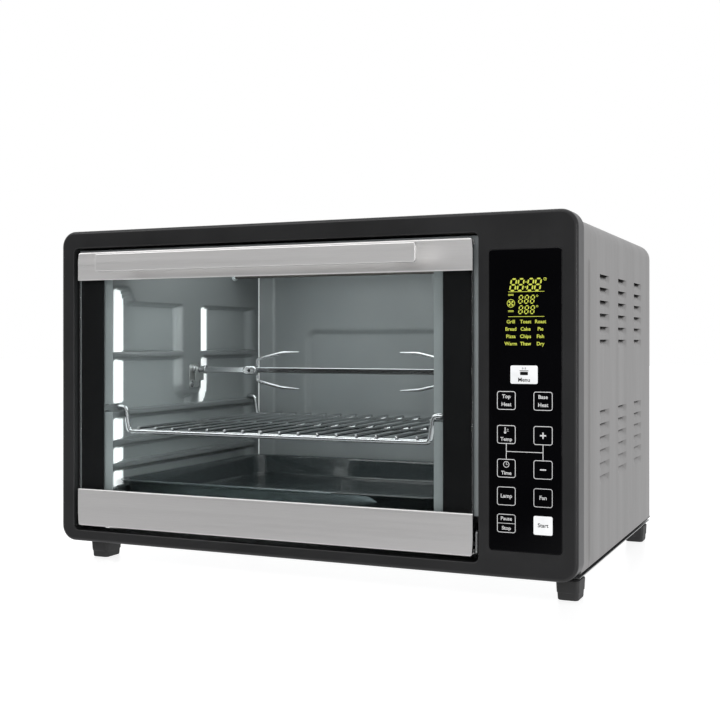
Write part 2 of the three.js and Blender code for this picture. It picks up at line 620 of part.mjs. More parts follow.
// ---------------------------------------------------------------- controls
function makeControls() {
  const { left, right, bottom, top, corner, thickness } = GLASS_PANEL;
  const glass = slab(roundedRect(left, right, bottom, top, corner), "y", 0, thickness);
  add(oven, "control_glass", glass, "black_glass");
  const behind = FASCIA.skin + GAP;
  const touch = box([left + 3, right - 3], [behind, behind + 1.6], [bottom + 4, 200]);
  add(oven, "touch_board", touch, "circuit_board");
  const display = box([left + 8, right - 8], [behind, behind + 7], [205, 275]);
  add(oven, "display_module", display, "component");
  add(oven, "power_board", box([BOARD.x, BOARD.x + BOARD.thickness], BOARD.y, BOARD.z), "circuit_board");
  const core = box([210, BOARD.x - GAP], [80, 124], [50, 92]);
  const winding = box([204, 233], [86, 118], [56, 86]);
  add(oven, "transformer", join(core, winding), "component");
  add(oven, "relay", box([218, BOARD.x - GAP], [150, 180], [60, 76]), "component");
  makeTerminalBlock();
}

// The mains terminals on the rear panel's inside, above the cable gland: a base with walls between them.
function makeTerminalBlock() {
  const { x, z, width, height, depth, ways } = TERMINALS;
  const rear = COVER_REAR;
  const base = box([x - width / 2, x + width / 2], [rear - depth / 2, rear], [z, z + height]);
  const pitch = width / ways;
  const walls = Array.from({ length: ways + 1 }, (_, i) => {
    const middle = x - width / 2 + 1 + ((width - 2) / ways) * i;
    return box([middle - 1, middle + 1], [rear - depth, rear - depth / 4], [z, z + height]);
  });
  const posts = Array.from({ length: ways }, (_, i) => {
    const centre = [x - width / 2 + pitch * (i + 0.5), 0, z + height / 2];
    return bar("y", rear - depth + 3, rear - depth / 4, 2.8, centre, 10);
  });
  add(oven, "terminal_block", join(base, ...walls, ...posts), "component");
}

// ---------------------------------------------------------------- door
// A folded band: front face, edge and rear lip round one end of the glass.
function bandOutline(edge, height, inward) {
  const { sheet, lip } = BAND;
  const rear = 1.2 + DOOR.glass + GAP;
  const z = (distance) => edge + inward * distance;
  return polygon([[0, z(0)], [rear + sheet, z(0)], [rear + sheet, z(lip)], [rear, z(lip)], [rear, z(sheet)],
    [sheet, z(sheet)], [sheet, z(height)], [0, z(height)]]);
}

function makeDoor() {
  const half = DOOR.width / 2;
  const { sheet } = BAND;
  const [low, high] = [DOOR.bottom + sheet + GAP, DOOR.top - sheet - GAP];
  const pane = roundedRect(-half + 0.5, half - 0.5, low, high, DOOR.corner - 1);
  add(doorGroup, "door_glass", slab(pane, "y", 1.2, 1.2 + DOOR.glass), "door_glass");

  const silhouette = slab(roundedRect(-half, half, DOOR.bottom, DOOR.top, DOOR.corner), "y", -1, 10);
  const bands = { top: [DOOR.top, BAND.topHeight, -1], bottom: [DOOR.bottom, BAND.bottomHeight, 1] };
  for (const [name, fold] of Object.entries(bands)) {
    const band = slab(bandOutline(...fold), "x", -half, half).intersect(silhouette);
    add(doorGroup, `door_${name}_band`, band, "brushed_steel");
  }

  const back = 1.2 + DOOR.glass + GAP;
  for (const [side, sign] of Object.entries(SIDES)) {
    const flange = span(sign, half - 1 - STILE.ear, half - 1);
    const plate = box(span(sign, half - STILE.width, half - 1), [back, back + STILE.sheet], STILE.z);
    const earY = [back + BAND.sheet + GAP, HINGE.y + HINGE.ear];
    const ear = slab(roundedRect(...earY, HINGE.z - 5, STILE.earTop, 2.5), "x", ...flange);
    const upright = box(flange, [back, back + STILE.sheet], [STILE.z[0], STILE.earTop]);
    const hole = bar("x", ...span(sign, half - 5, half + 2), HINGE.pin + 0.35, [0, HINGE.y, HINGE.z]);
    add(doorGroup, `door_stile_${side}`, cut(join(plate, upright, ear), hole), "black_plastic");

    const post = [[-HANDLE_REACH + HANDLE.thickness + GAP, 0], [-HANDLE_REACH + HANDLE.thickness + GAP,
      HANDLE.postRadius], [-3, HANDLE.postRadius], [-GAP, HANDLE.postRadius + 1.5], [-GAP, 0]];
    const centre = [sign * HANDLE.postX, 0, HANDLE.centreZ];
    add(doorGroup, `handle_post_${side}`, turned(post, "y", centre, 20), "brushed_steel");
    makeHinge(side, sign, half);
  }

  const [grip, rim] = [HANDLE.length / 2, 1];
  const [bottom, top] = [HANDLE.centreZ - HANDLE.height / 2, HANDLE.centreZ + HANDLE.height / 2];
  const outline = roundedRect(-grip + rim, grip - rim, bottom + rim, top - rim, 2.5);
  const handle = slab(outline, "y", -HANDLE_REACH + rim, -HANDLE_REACH + HANDLE.thickness - rim, {
    bevelEnabled: true,
    bevelThickness: rim,
    bevelSize: rim,
    bevelSegments: 1,
    curveSegments: 3,
  });
  add(doorGroup, "handle_bar", handle, "brushed_steel");
}

// The fixed half of a hinge: a bracket beside the doorway, its pin, and a torsion spring on the pin.
function makeHinge(side, sign, half) {
  const { y, z, pin } = HINGE;
  const plate = slab(roundedRect(y - 5, y + 30, z - 8, z + 12, 3), "x", ...span(sign, half + 1, half + 3));
  const foot = box(span(sign, half - 14, half + 3), [y + 22, y + 23.5], [z - 8, z + 12]);
  const seat = bar("x", ...span(sign, half, half + 4), pin + GAP, [0, y, z]);
  add(doorGroup, `hinge_bracket_${side}`, cut(join(plate, foot), seat), "galvanised");

  const profile = [[half - 12, 0], [half - 12, pin], [half + 3 + GAP, pin], [half + 3 + GAP, pin + 1.4],
    [half + 4.6, pin + 1.4], [half + 4.6, 0]].map(([along, r]) => [sign * along, r]);
  add(doorGroup, `hinge_pin_${side}`, turned(profile, "x", [0, y, z], 16), "galvanised");

  const coil = { radius: 3.1, wire: 0.45, turns: 4, from: half - 3.4, pitch: 1.5, steps: 8 };
  const points = [vec(sign * coil.from, y + coil.radius, z + 14)];
  for (let i = 0; i <= coil.turns * coil.steps; i += 1) {
    const angle = (-2 * Math.PI * i) / coil.steps;
    const x = sign * (coil.from - (coil.pitch * i) / coil.steps);
    points.push(vec(x, y + coil.radius * Math.cos(angle), z + coil.radius * Math.sin(angle)));
  }
  const last = points[points.length - 1];
  points.push(vec(last.x, last.y, z - 3));
  add(doorGroup, `hinge_spring_${side}`, wire(points, coil.wire, 4), "chrome_wire");
}

// ---------------------------------------------------------------- build
makeFascia();
makeCover();
makeBase();
makeRear();
makeSpacers();
makeFeet();
makeCavity();
makeHeaters();
makeLampAndSensors();
makeRack();
makeTray();
makeSpit();
makeFan();
makeControls();
makeDoor();

export default oven;
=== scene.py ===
"""A countertop toaster oven: the looks of every visible piece, built round its packed frame.

Shapes are worked out in millimetres, in the oven's own frame: +X to the right, +Y to the back,
+Z up from the table. A shape is a pair, its points as an array of (x, y, z) rows and its faces.
"""

import math

import bmesh
import bpy
import numpy as np
from bpy.props import FloatProperty, FloatVectorProperty, IntProperty, PointerProperty
from bpy.types import Operator, Panel, PropertyGroup
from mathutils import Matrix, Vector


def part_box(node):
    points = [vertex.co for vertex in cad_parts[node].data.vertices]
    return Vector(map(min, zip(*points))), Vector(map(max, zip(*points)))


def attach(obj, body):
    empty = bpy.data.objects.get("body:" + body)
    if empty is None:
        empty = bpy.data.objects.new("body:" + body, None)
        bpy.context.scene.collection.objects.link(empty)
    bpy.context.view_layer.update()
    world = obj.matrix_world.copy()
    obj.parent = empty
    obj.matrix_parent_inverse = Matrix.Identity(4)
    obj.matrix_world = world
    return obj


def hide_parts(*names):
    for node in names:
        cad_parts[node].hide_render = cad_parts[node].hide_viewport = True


bl_info = {
    "name": "Toaster Oven",
    "version": (1, 0, 0),
    "blender": (4, 5, 0),
    "location": "3D View > Sidebar > Toaster Oven",
    "description": "Builds the visible pieces of a countertop toaster oven on its frame",
    "category": "Add Mesh",
}

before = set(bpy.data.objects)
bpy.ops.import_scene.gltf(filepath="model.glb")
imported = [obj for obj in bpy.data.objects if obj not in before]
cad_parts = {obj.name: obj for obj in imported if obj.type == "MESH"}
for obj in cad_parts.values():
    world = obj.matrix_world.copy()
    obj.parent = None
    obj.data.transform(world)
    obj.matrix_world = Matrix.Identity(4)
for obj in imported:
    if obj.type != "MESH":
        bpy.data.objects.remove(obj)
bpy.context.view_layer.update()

MM = 0.001
SIDES = {"left": -1, "right": 1}


def box_of(node):
    """The lowest and highest corner of a frame node, in millimetres."""
    low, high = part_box(node)
    return np.array(low) / MM, np.array(high) / MM


def centre_of(node):
    """The middle of a frame node's box, in millimetres."""
    low, high = box_of(node)
    return (low + high) / 2


FRONT = box_of("front_fascia")[0][1]
DOOR_X = centre_of("door_glass")[0]
CAVITY_X = centre_of("cavity_roof")[0]


# ---------------------------------------------------------------- sizes and colours
def length(name, description, millimetres):
    """A size property, shown in the scene's length unit."""
    return FloatProperty(name=name, description=description, default=millimetres * MM, min=0.0,
                         unit="LENGTH", subtype="DISTANCE")


def colour(name, description, rgb):
    """A colour property."""
    return FloatVectorProperty(name=name, description=description, default=rgb, size=3,
                               min=0.0, max=1.0, subtype="COLOR")


class ShellSizes(PropertyGroup):
    """Sizes of the casing."""
    fascia_edge: length("Fascia edge", "Radius of the fascia's outer front edge", 3.2)
    doorway_edge: length("Doorway edge", "Radius of the edge round the doorway", 1.0)
    cover_sheet: length("Cover sheet", "Thickness of the wrap-round cover", 0.8)
    cover_curl: length("Cover curl", "Radius of the cover's rolled rear edge", 8.0)
    bead_height: length("Bead height", "How far the stiffening bead stands out of the side", 1.0)
    louvre_width: length("Louvre width", "Length of one louvre from front to back", 42.0)
    louvre_height: length("Louvre height", "Height of one louvre", 7.0)
    louvre_depth: length("Louvre depth", "How far a louvre is pressed in at its free edge", 4.2)
    louvre_ramp: length("Louvre ramp", "Length of the slope at each end of a louvre", 8.0)


class DoorSizes(PropertyGroup):
    """Sizes of the door."""
    band_sheet: length("Band sheet", "Thickness of the folded steel bands", 0.9)
    band_fold: length("Band fold", "Outer radius of the bands' folded edge", 1.8)
    glass_edge: length("Glass edge", "Radius of the glass pane's ground edge", 0.7)
    handle_edge: length("Handle edge", "Radius of the handle bar's edges", 1.1)
    handle_corner: length("Handle corner", "Corner radius of the handle bar's face", 2.6)
    spring_wire: length("Spring wire", "Diameter of the hinge springs' wire", 0.9)


class CavitySizes(PropertyGroup):
    """Sizes inside the oven."""
    sheet: length("Cavity sheet", "Thickness of the cavity's sheet steel", 0.6)
    rib_slope: length("Rib slope", "Height of the slope under each shelf rib", 5.0)
    rib_shelf: length("Rib shelf", "Height of the short slope on top of each shelf rib", 1.6)
    panel_front_slope: length("Panel front slope", "Depth of the slope at a pressed panel's front", 26.0)
    panel_rear_slope: length("Panel rear slope", "Depth of the slope at a pressed panel's rear", 16.0)
    back_emboss: length("Back emboss", "Depth of the rounded panel pressed in the back wall", 4.0)
    rod: length("Rack rod", "Diameter of the rack's cross rods", 3.0)
    frame_wire: length("Rack frame wire", "Diameter of the rack's frame wire", 5.0)
    tine: length("Fork tine", "Diameter of the fork tines", 3.4)
    rods: IntProperty(name="Rack rods", description="Number of cross rods in the rack", default=16, min=2)


class PanelSizes(PropertyGroup):
    """Sizes of the touch panel's printing."""
    key: length("Key", "Width of one touch key", 16.0)
    key_line: length("Key line", "Width of a key's outline", 0.55)
    digit: length("Clock digit", "Height of the clock's digits", 9.6)
    print_depth: length("Print", "Thickness of the printing", 0.05)


class OvenColours(PropertyGroup):
    """Colours of the finishes."""
    plastic: colour("Fascia plastic", "Moulded black plastic", (0.016, 0.016, 0.0165))
    rubber: colour("Feet", "Black rubber", (0.016, 0.016, 0.016))
    cover: colour("Cover steel", "Brushed steel of the cover", (0.325, 0.32, 0.315))
    band: colour("Band steel", "Brushed steel of the door bands and handle", (0.82, 0.81, 0.80))
    zinc: colour("Zinc plate", "Plated sheet of the back and base", (0.45, 0.46, 0.46))
    cavity: colour("Cavity coating", "Grey coating inside the oven", (0.15, 0.163, 0.166))
    # Painted highlight: this near-white colour is given to the cavity's slopes, with a glow of it, in place
    # of light falling there.
    painted_slope_highlight: colour("Cavity slopes", "Bright steel where the coating is thin on the slopes", (0.9, 0.92, 0.92))
    chrome: colour("Chrome wire", "Plated wire and rods", (0.52, 0.53, 0.54))
    enamel: colour("Tray enamel", "Dark enamel of the tray", (0.016, 0.02, 0.021))
    glass: colour("Door glass", "Tint of the door glass", (0.96, 0.98, 0.975))
    black_glass: colour("Control glass", "Black glass of the touch panel", (0.002, 0.002, 0.0025))
    display: colour("Display", "Lit display segments", (0.56, 0.60, 0.08))
    ink: colour("Key ink", "Pale ink of the key outlines", (0.62, 0.62, 0.62))


# ---------------------------------------------------------------- shapes
def ease(t):
    """A smooth step from 0 to 1: 3t^2 - 2t^3, with t held between 0 and 1."""
    t = np.clip(t, 0.0, 1.0)
    return t * t * (3.0 - 2.0 * t)


def surface(points, close_rows=False, close_columns=False):
    """Quads over a grid of points, rows by columns; either direction can close on itself."""
    rows, columns = points.shape[:2]
    r, c = np.mgrid[0:rows - (not close_rows), 0:columns - (not close_columns)]
    r2, c2 = (r + 1) % rows, (c + 1) % columns
    quads = np.stack((r * columns + c, r * columns + c2, r2 * columns + c2, r2 * columns + c), -1)
    return points.reshape(-1, 3), quads.reshape(-1, 4).tolist()


def loft(rings):
    """Closed rings of equal count joined one to the next, with one face over each end."""
    rings = np.asarray(rings, float)
    points, faces = surface(rings, close_columns=True)
    size = rings.shape[1]
    faces.append(list(range(size)))
    faces.append(list(range(len(points) - size, len(points))))
    return points, faces


def joined(*shapes):
    """Several shapes as one: each shape's faces count on from the points before it."""
    points, faces, start = [], [], 0
    for own_points, own_faces in shapes:
        points.append(own_points)
        faces += [[start + i for i in face] for face in own_faces]
        start += len(own_points)
    return np.vstack(points), faces


def moved(shape, x=0.0, y=0.0, z=0.0):
    """The shape carried by a vector."""
    return shape[0] + np.array((x, y, z)), shape[1]


def mirrored(shape, centre=0.0):
    """The shape's image in the plane x = centre, its faces turned round."""
    points = shape[0].copy()
    points[:, 0] = 2 * centre - points[:, 0]
    return points, [face[::-1] for face in shape[1]]


def turned_about(shape, axis, angle, centre):
    """The shape turned by an angle in radians about an axis (0, 1 or 2) through a centre."""
    a, b = [(1, 2), (2, 0), (0, 1)][axis]
    points = shape[0] - centre
    u, v = points[:, a].copy(), points[:, b].copy()
    points[:, a] = u * math.cos(angle) - v * math.sin(angle)
    points[:, b] = u * math.sin(angle) + v * math.cos(angle)
    return points + centre, shape[1]


def rounded_outline(u, v, corner, steps=6):
    """A rectangle u[0]..u[1] by v[0]..v[1], anticlockwise, whose corners are quarter circles:
    at angle a a corner point lies at its centre plus corner * (cos a, sin a)."""
    r = max(corner, 0.01)
    turn = np.linspace(0.0, np.pi / 2, steps + 1)
    centres = ((u[1] - r, v[0] + r, -0.5), (u[1] - r, v[1] - r, 0.0),
               (u[0] + r, v[1] - r, 0.5), (u[0] + r, v[0] + r, 1.0))
    arcs = [np.column_stack((cu + r * np.cos(turn + k * np.pi), cv + r * np.sin(turn + k * np.pi)))
            for cu, cv, k in centres]
    return np.vstack(arcs)


def placed(outline, level, axis):
    """Plane points (u, v) set at a level along an axis: (x, z) on y, (x, y) on z, (y, z) on x."""
    u, v = outline[:, 0], outline[:, 1]
    level = np.full_like(u, level)
    return np.column_stack({"x": (level, u, v), "y": (u, level, v), "z": (u, v, level)}[axis])


def layered(layers, axis, steps=6):
    """Rounded rectangles at rising levels along an axis, lofted and closed at both ends.
    A layer is (level, (u0, u1), (v0, v1), corner)."""
    return loft([placed(rounded_outline(u, v, corner, steps), level, axis)
                 for level, u, v, corner in layers])


def block(u, v, levels, corner, edge, axis, steps=6, edge_steps=3):
    """A rounded block. Near each end the outline draws in by edge * (1 - sin a) while the level
    comes within edge * (1 - cos a) of the end, a quarter circle over a = 0 to 90 degrees."""
    a = np.linspace(0.0, np.pi / 2, edge_steps + 1)
    inset = edge * (1 - np.sin(a))
    rise = edge * (1 - np.cos(a))
    rows = [(levels[0] + up, cut) for up, cut in zip(rise, inset)]
    rows += [(levels[1] - up, cut) for up, cut in zip(rise[::-1], inset[::-1])]
    return layered([(level, (u[0] + cut, u[1] - cut), (v[0] + cut, v[1] - cut), corner - cut)
                    for level, cut in rows], axis, steps)


def prism(outline, levels, axis="y"):
    """A plane outline carried straight from one level to another."""
    return loft([placed(np.asarray(outline, float), level, axis) for level in levels])


def lathe(profile, axis, centre, segments=32):
    """A profile of (along, radius) points turned about the line through a centre along an axis:
    at angle a a point lies at along on the line and radius * (cos a, sin a) across it."""
    along, radius = np.asarray(profile, float).T
    a = np.linspace(0.0, 2 * np.pi, segments, endpoint=False)
    u = radius[:, None] * np.cos(a)
    v = radius[:, None] * np.sin(a)
    level = np.broadcast_to(along[:, None], u.shape)
    order = {"x": (level, u, v), "y": (u, level, v), "z": (u, v, level)}[axis]
    centre = np.array(centre, float)
    centre["xyz".index(axis)] = 0.0
    return loft(np.stack(order, -1) + centre)


def soft_rod(ends, radius, soft, axis, centre, segments=32):
    """A round bar between two levels on an axis, the edges of its ends softened."""
    start, end = ends
    return lathe(softened([(start, 0.0), (start, radius), (end, radius), (end, 0.0)], soft), axis, centre,
                 segments)


def ring(profile, axis, centre, segments=32):
    """Like a lathe, for a profile that closes on itself round a hole."""
    shape = lathe(profile, axis, centre, segments)
    count = len(profile)
    return surface(shape[0].reshape(count, segments, 3), close_rows=True, close_columns=True)


def softened(profile, radius, steps=3):
    """An open profile with each inner corner replaced by a short curve: the quadratic curve from
    radius before the corner to radius after it, (1-t)^2 A + 2t(1-t) B + t^2 C."""
    points = np.asarray(profile, float)
    before, corner, after = points[:-2], points[1:-1], points[2:]
    reach_in = np.linalg.norm(before - corner, axis=1, keepdims=True)
    reach_out = np.linalg.norm(after - corner, axis=1, keepdims=True)
    start = corner + (before - corner) / reach_in * np.minimum(radius, reach_in * 0.49)
    end = corner + (after - corner) / reach_out * np.minimum(radius, reach_out * 0.49)
    t = np.linspace(0.0, 1.0, steps + 1)[None, :, None]
    curve = (1 - t) ** 2 * start[:, None] + 2 * t * (1 - t) * corner[:, None] + t ** 2 * end[:, None]
    return np.vstack((points[:1], curve.reshape(-1, points.shape[1]), points[-1:]))


def tube(path, radius, side, sides=12):
    """A round wire along a path: each ring lies at the path point plus radius * (cos a * n +
    sin a * b), n and b across the path; the ends close in quarter circles. The radius may
    change along the path, and side is a direction that the path never takes."""
    path = np.asarray(path, float)
    radius = np.broadcast_to(np.asarray(radius, float), len(path)).copy()
    along = np.gradient(path, axis=0)
    along /= np.linalg.norm(along, axis=1, keepdims=True)
    turn = np.radians((80.0, 50.0, 20.0))
    first = path[0] - along[0] * (radius[0] * np.sin(turn))[:, None]
    last = path[-1] + along[-1] * (radius[-1] * np.sin(turn[::-1]))[:, None]
    path = np.vstack((first, path, last))
    radius = np.concatenate((radius[0] * np.cos(turn), radius, radius[-1] * np.cos(turn[::-1])))
    along = np.vstack((np.repeat(along[:1], 3, 0), along, np.repeat(along[-1:], 3, 0)))
    across = np.cross(along, np.asarray(side, float))
    across /= np.linalg.norm(across, axis=1, keepdims=True)
    other = np.cross(along, across)
    a = np.linspace(0.0, 2 * np.pi, sides, endpoint=False)
    rings = (path[:, None] + radius[:, None, None]
             * (np.cos(a)[None, :, None] * across[:, None] + np.sin(a)[None, :, None] * other[:, None]))
    return loft(rings)


def strip(profile, x, lines=2):
    """A sheet: a profile of (y, z) points carried along x, between x[0] and x[1]; where x holds
    two arrays, each profile point has its own ends."""
    profile = np.asarray(profile, float)
    t = np.linspace(0.0, 1.0, lines)[None, :]
    ends = [np.broadcast_to(np.asarray(end, float), len(profile))[:, None] for end in x]
    across = ends[0] + (ends[1] - ends[0]) * t
    points = np.stack((across, np.broadcast_to(profile[:, :1], across.shape),
                       np.broadcast_to(profile[:, 1:], across.shape)), -1)
    return surface(points)


def screw_head(centre, radius, axis, sign):
    """A domed head with a cross recess, as a height over polar rings: a dome that falls with the
    square of the distance, less a recess where either arm of the cross passes."""
    rings = np.linspace(0.0, 1.0, 10)[1:, None]
    a = np.linspace(0.0, 2 * np.pi, 32, endpoint=False)[None, :]
    u, v = radius * rings * np.cos(a), radius * rings * np.sin(a)
    arm = np.minimum(np.abs(u), np.abs(v)) / radius
    inside = ease((0.66 - rings) / 0.12) * ease((0.17 - arm) / 0.08)
    height = radius * (0.55 * (1 - 0.75 * rings ** 2) - 0.42 * inside)
    u, v, height = (np.vstack((part, part[-1:])) for part in (u, v, height))
    height[-1] = 0.0
    order = {"x": (sign * height, u, v), "y": (u, sign * height, v), "z": (u, v, sign * height)}[axis]
    return loft(np.stack(order, -1) + np.asarray(centre, float))


# ---------------------------------------------------------------- pieces
def settle(piece):
    """Swaps a piece's mesh for the one that its modifiers make."""
    depsgraph = bpy.context.evaluated_depsgraph_get()
    made = bpy.data.meshes.new_from_object(piece.evaluated_get(depsgraph), depsgraph=depsgraph)
    old = piece.data
    piece.modifiers.clear()
    piece.data = made
    bpy.data.meshes.remove(old)


def raw_object(name, shape, inside=None):
    """An object of a shape, its doubles merged. A closed shape's normals are recalculated; a
    sheet, which names a point inside it, is turned so that its faces look away from that point."""
    points, faces = shape
    mesh = bpy.data.meshes.new(name)
    mesh.from_pydata((points * MM).tolist(), [], faces)
    work = bmesh.new()
    work.from_mesh(mesh)
    bmesh.ops.remove_doubles(work, verts=work.verts, dist=0.002 * MM)
    bmesh.ops.dissolve_degenerate(work, edges=work.edges, dist=0.0005 * MM)
    if inside is None:
        bmesh.ops.recalc_face_normals(work, faces=work.faces)
    work.to_mesh(mesh)
    work.free()
    if inside is not None:
        count = len(mesh.polygons)
        centres, normals = np.zeros(count * 3), np.zeros(count * 3)
        areas = np.zeros(count)
        mesh.polygons.foreach_get("center", centres)
        mesh.polygons.foreach_get("normal", normals)
        mesh.polygons.foreach_get("area", areas)
        outward = centres.reshape(-1, 3) - np.asarray(inside) * MM
        if (areas * (outward * normals.reshape(-1, 3)).sum(1)).sum() < 0:
            mesh.flip_normals()
    piece = bpy.data.objects.new(name, mesh)
    bpy.context.scene.collection.objects.link(piece)
    return piece


def make(name, shape, look, *nodes, body="oven", slot=None, inside=None, sheet=0.0, cut=None,
         edge=0.0, sharp=42.0):
    """A finished piece: the shape, given a wall if it is a sheet, cut, its edges rounded, shaded
    smooth over flat faces, and tied to its body and the frame nodes that it replaces. The slot is not used."""
    piece = raw_object(name, shape, inside)
    if sheet:
        wall = piece.modifiers.new("Wall", "SOLIDIFY")
        wall.thickness = sheet * MM
        wall.offset = -1.0
    cutter = None
    if cut is not None:
        cutter = raw_object(name + "_cutter", cut)
        boolean = piece.modifiers.new("Cut", "BOOLEAN")
        boolean.object = cutter
        boolean.operation = "DIFFERENCE"
        boolean.solver = "EXACT"
    if edge:
        bevel = piece.modifiers.new("Edge", "BEVEL")
        bevel.width = edge * MM
        bevel.segments = 2
        bevel.limit_method = "ANGLE"
        bevel.angle_limit = math.radians(40)
    if piece.modifiers:
        settle(piece)
    if cutter:
        bpy.data.objects.remove(cutter)
    piece.data.shade_smooth()
    piece.data.set_sharp_from_angle(angle=math.radians(sharp))
    weighted = piece.modifiers.new("Flat faces", "WEIGHTED_NORMAL")
    weighted.keep_sharp = True
    settle(piece)
    piece.data.name = name
    piece.data.materials.clear()
    piece.data.materials.append(finish(look))
    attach(piece, body)
    if nodes:
        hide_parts(*nodes)
    return piece


def dress(look, *nodes):
    """Gives frame nodes that stay in view a finish."""
    for node in nodes:
        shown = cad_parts[node]
        shown.data.materials.clear()
        shown.data.materials.append(finish(look))


def node_block(node, corner, edge, steps=6, edge_steps=3):
    """A rounded block that fills a frame node's box, its corners rounded as seen from the front."""
    low, high = box_of(node)
    return block((low[0], high[0]), (low[2], high[2]), (low[1], high[1]), corner, edge, "y", steps,
                 edge_steps)


# ---------------------------------------------------------------- materials
class Tree:
    """A node tree with short calls: an input takes a value or a socket."""

    def __init__(self, tree):
        self.nodes = tree.nodes
        self.links = tree.links

    def feed(self, node, inputs):
        """Gives each input of a node, by name or number, its value or a link from a socket."""
        for name, value in inputs.items():
            if isinstance(value, bpy.types.NodeSocket):
                self.links.new(value, node.inputs[name])
            else:
                node.inputs[name].default_value = value
        return node

    def add(self, kind, inputs=None, **values):
        """A new node."""
        node = self.nodes.new("ShaderNode" + kind)
        for name, value in values.items():
            setattr(node, name, value)
        return self.feed(node, inputs or {})

    def place(self):
        """Object coordinates."""
        return self.add("TexCoord").outputs["Object"]

    def noise(self, place, scale, detail, roughness=0.5):
        """Noise between 0 and 1 at a place."""
        return self.add("TexNoise", {"Vector": place, "Scale": scale, "Detail": detail,
                                     "Roughness": roughness}).outputs[0]

    def maths(self, operation, first, second):
        """One number worked out from two."""
        return self.add("Math", {0: first, 1: second}, operation=operation).outputs[0]

    def blend(self, factor, first, second):
        """A colour between two colours: the Mix node's colour sockets are 6, 7 and output 2."""
        return self.add("Mix", {0: factor, 6: first, 7: second}, data_type="RGBA").outputs[2]

    def ramp(self, value, low, high, to_low=0.0, to_high=1.0):
        """A number carried from one range to another, held at the ends."""
        return self.add("MapRange", {"Value": value, "From Min": low, "From Max": high,
                                     "To Min": to_low, "To Max": to_high}).outputs["Result"]

    def bump(self, height, strength, distance):
        """A normal from a height, its distance in millimetres."""
        return self.add("Bump", {"Height": height, "Strength": strength,
                                 "Distance": distance * MM}).outputs[0]

    def mottle(self, scale, slow):
        """The outputs of a mottle group."""
        return self.add("Group", {"Scale": scale, "Slow scale": slow}, node_tree=mottle_group()).outputs


def node_group(name, inputs, outputs, build):
    """A shader node group made once: build gets its tree and input sockets and returns the
    sockets that leave by name."""
    if name in bpy.data.node_groups:
        return bpy.data.node_groups[name]
    group = bpy.data.node_groups.new(name, "ShaderNodeTree")
    for label, (kind, default) in inputs.items():
        group.interface.new_socket(name=label, in_out="INPUT", socket_type=kind).default_value = default
    for label in outputs:
        group.interface.new_socket(name=label, in_out="OUTPUT", socket_type="NodeSocketFloat")
    entry = group.nodes.new("NodeGroupInput")
    leave = group.nodes.new("NodeGroupOutput")
    for label, socket in build(Tree(group), entry.outputs).items():
        group.links.new(socket, leave.inputs[label])
    return group


def grain_group():
    """Brushed grain: noise drawn out along the brushing, fine lines over broad streaks."""
    def build(tree, given):
        place = tree.place()
        fine, broad = (tree.noise(tree.add("Mapping", {"Vector": place, "Scale": given[label]}).outputs[0],
                                  1.0, detail, roughness)
                       for label, detail, roughness in (("Fine", 3.0, 0.65), ("Broad", 2.0, 0.5)))
        tone = tree.maths("ADD", tree.maths("MULTIPLY", fine, 0.55), tree.maths("MULTIPLY", broad, 0.45))
        return {"Tone": tree.ramp(tone, 0.32, 0.68), "Height": fine}
    vector = ("NodeSocketVector", (1.0, 1.0, 1.0))
    return node_group("Brushed grain", {"Fine": vector, "Broad": vector}, ("Tone", "Height"), build)


def mottle_group():
    """Moulded or sprayed texture: small noise for the height and slow noise for handling marks."""
    def build(tree, given):
        place = tree.place()
        slow = tree.noise(place, given["Slow scale"], 4.0, 0.6)
        return {"Height": tree.noise(place, given["Scale"], 2.0), "Marks": tree.ramp(slow, 0.3, 0.7)}
    return node_group("Mottle", {"Scale": ("NodeSocketFloat", 900.0), "Slow scale": ("NodeSocketFloat",
                                                                                     14.0)}, ("Height",
                                                                                              "Marks"),
                      build)


def wear_group():
    """Edge wear: 1 on the sharp outer edges, broken up by noise, and 0 elsewhere."""
    def build(tree, given):
        raised = tree.ramp(tree.add("NewGeometry").outputs["Pointiness"], 0.52, 0.62)
        broken = tree.ramp(tree.noise(tree.place(), 120.0, 3.0), 0.35, 0.6)
        return {"Mask": tree.maths("MULTIPLY", tree.maths("MULTIPLY", raised, broken), given["Amount"])}
    return node_group("Edge wear", {"Amount": ("NodeSocketFloat", 0.3)}, ("Mask",), build)


def new_material(name):
    """An empty material with its tree and its Principled shader."""
    material = bpy.data.materials.new(name)
    material.use_nodes = True
    return material, Tree(material.node_tree), material.node_tree.nodes["Principled BSDF"]


def shade(rgb, factor=1.0):
    """A colour as four numbers, made lighter or darker by a factor."""
    return tuple(min(1.0, value * factor) for value in rgb) + (1.0,)


def satin(name, rgb, roughness, metallic=0.0, scale=900.0, height=0.03, spread=0.08, contrast=0.12,
          wear=0.0, slow=14.0, specular=0.5):
    """Moulded, coated or plated surface: mottled colour and gloss over a fine grained bump."""
    material, tree, shader = new_material(name)
    mottle = tree.mottle(scale, slow)
    base = tree.blend(mottle["Marks"], shade(rgb, 1 - contrast), shade(rgb, 1 + contrast))
    if wear:
        worn = tree.add("Group", {"Amount": wear}, node_tree=wear_group()).outputs["Mask"]
        base = tree.blend(worn, base, shade(rgb, 3.0))
    gloss = tree.ramp(mottle["Marks"], 0.0, 1.0, roughness - spread / 2, roughness + spread / 2)
    tree.feed(shader, {"Base Color": base, "Roughness": gloss, "Metallic": metallic,
                       "Specular IOR Level": specular, "Normal": tree.bump(mottle["Height"], 0.35, height)})
    return material


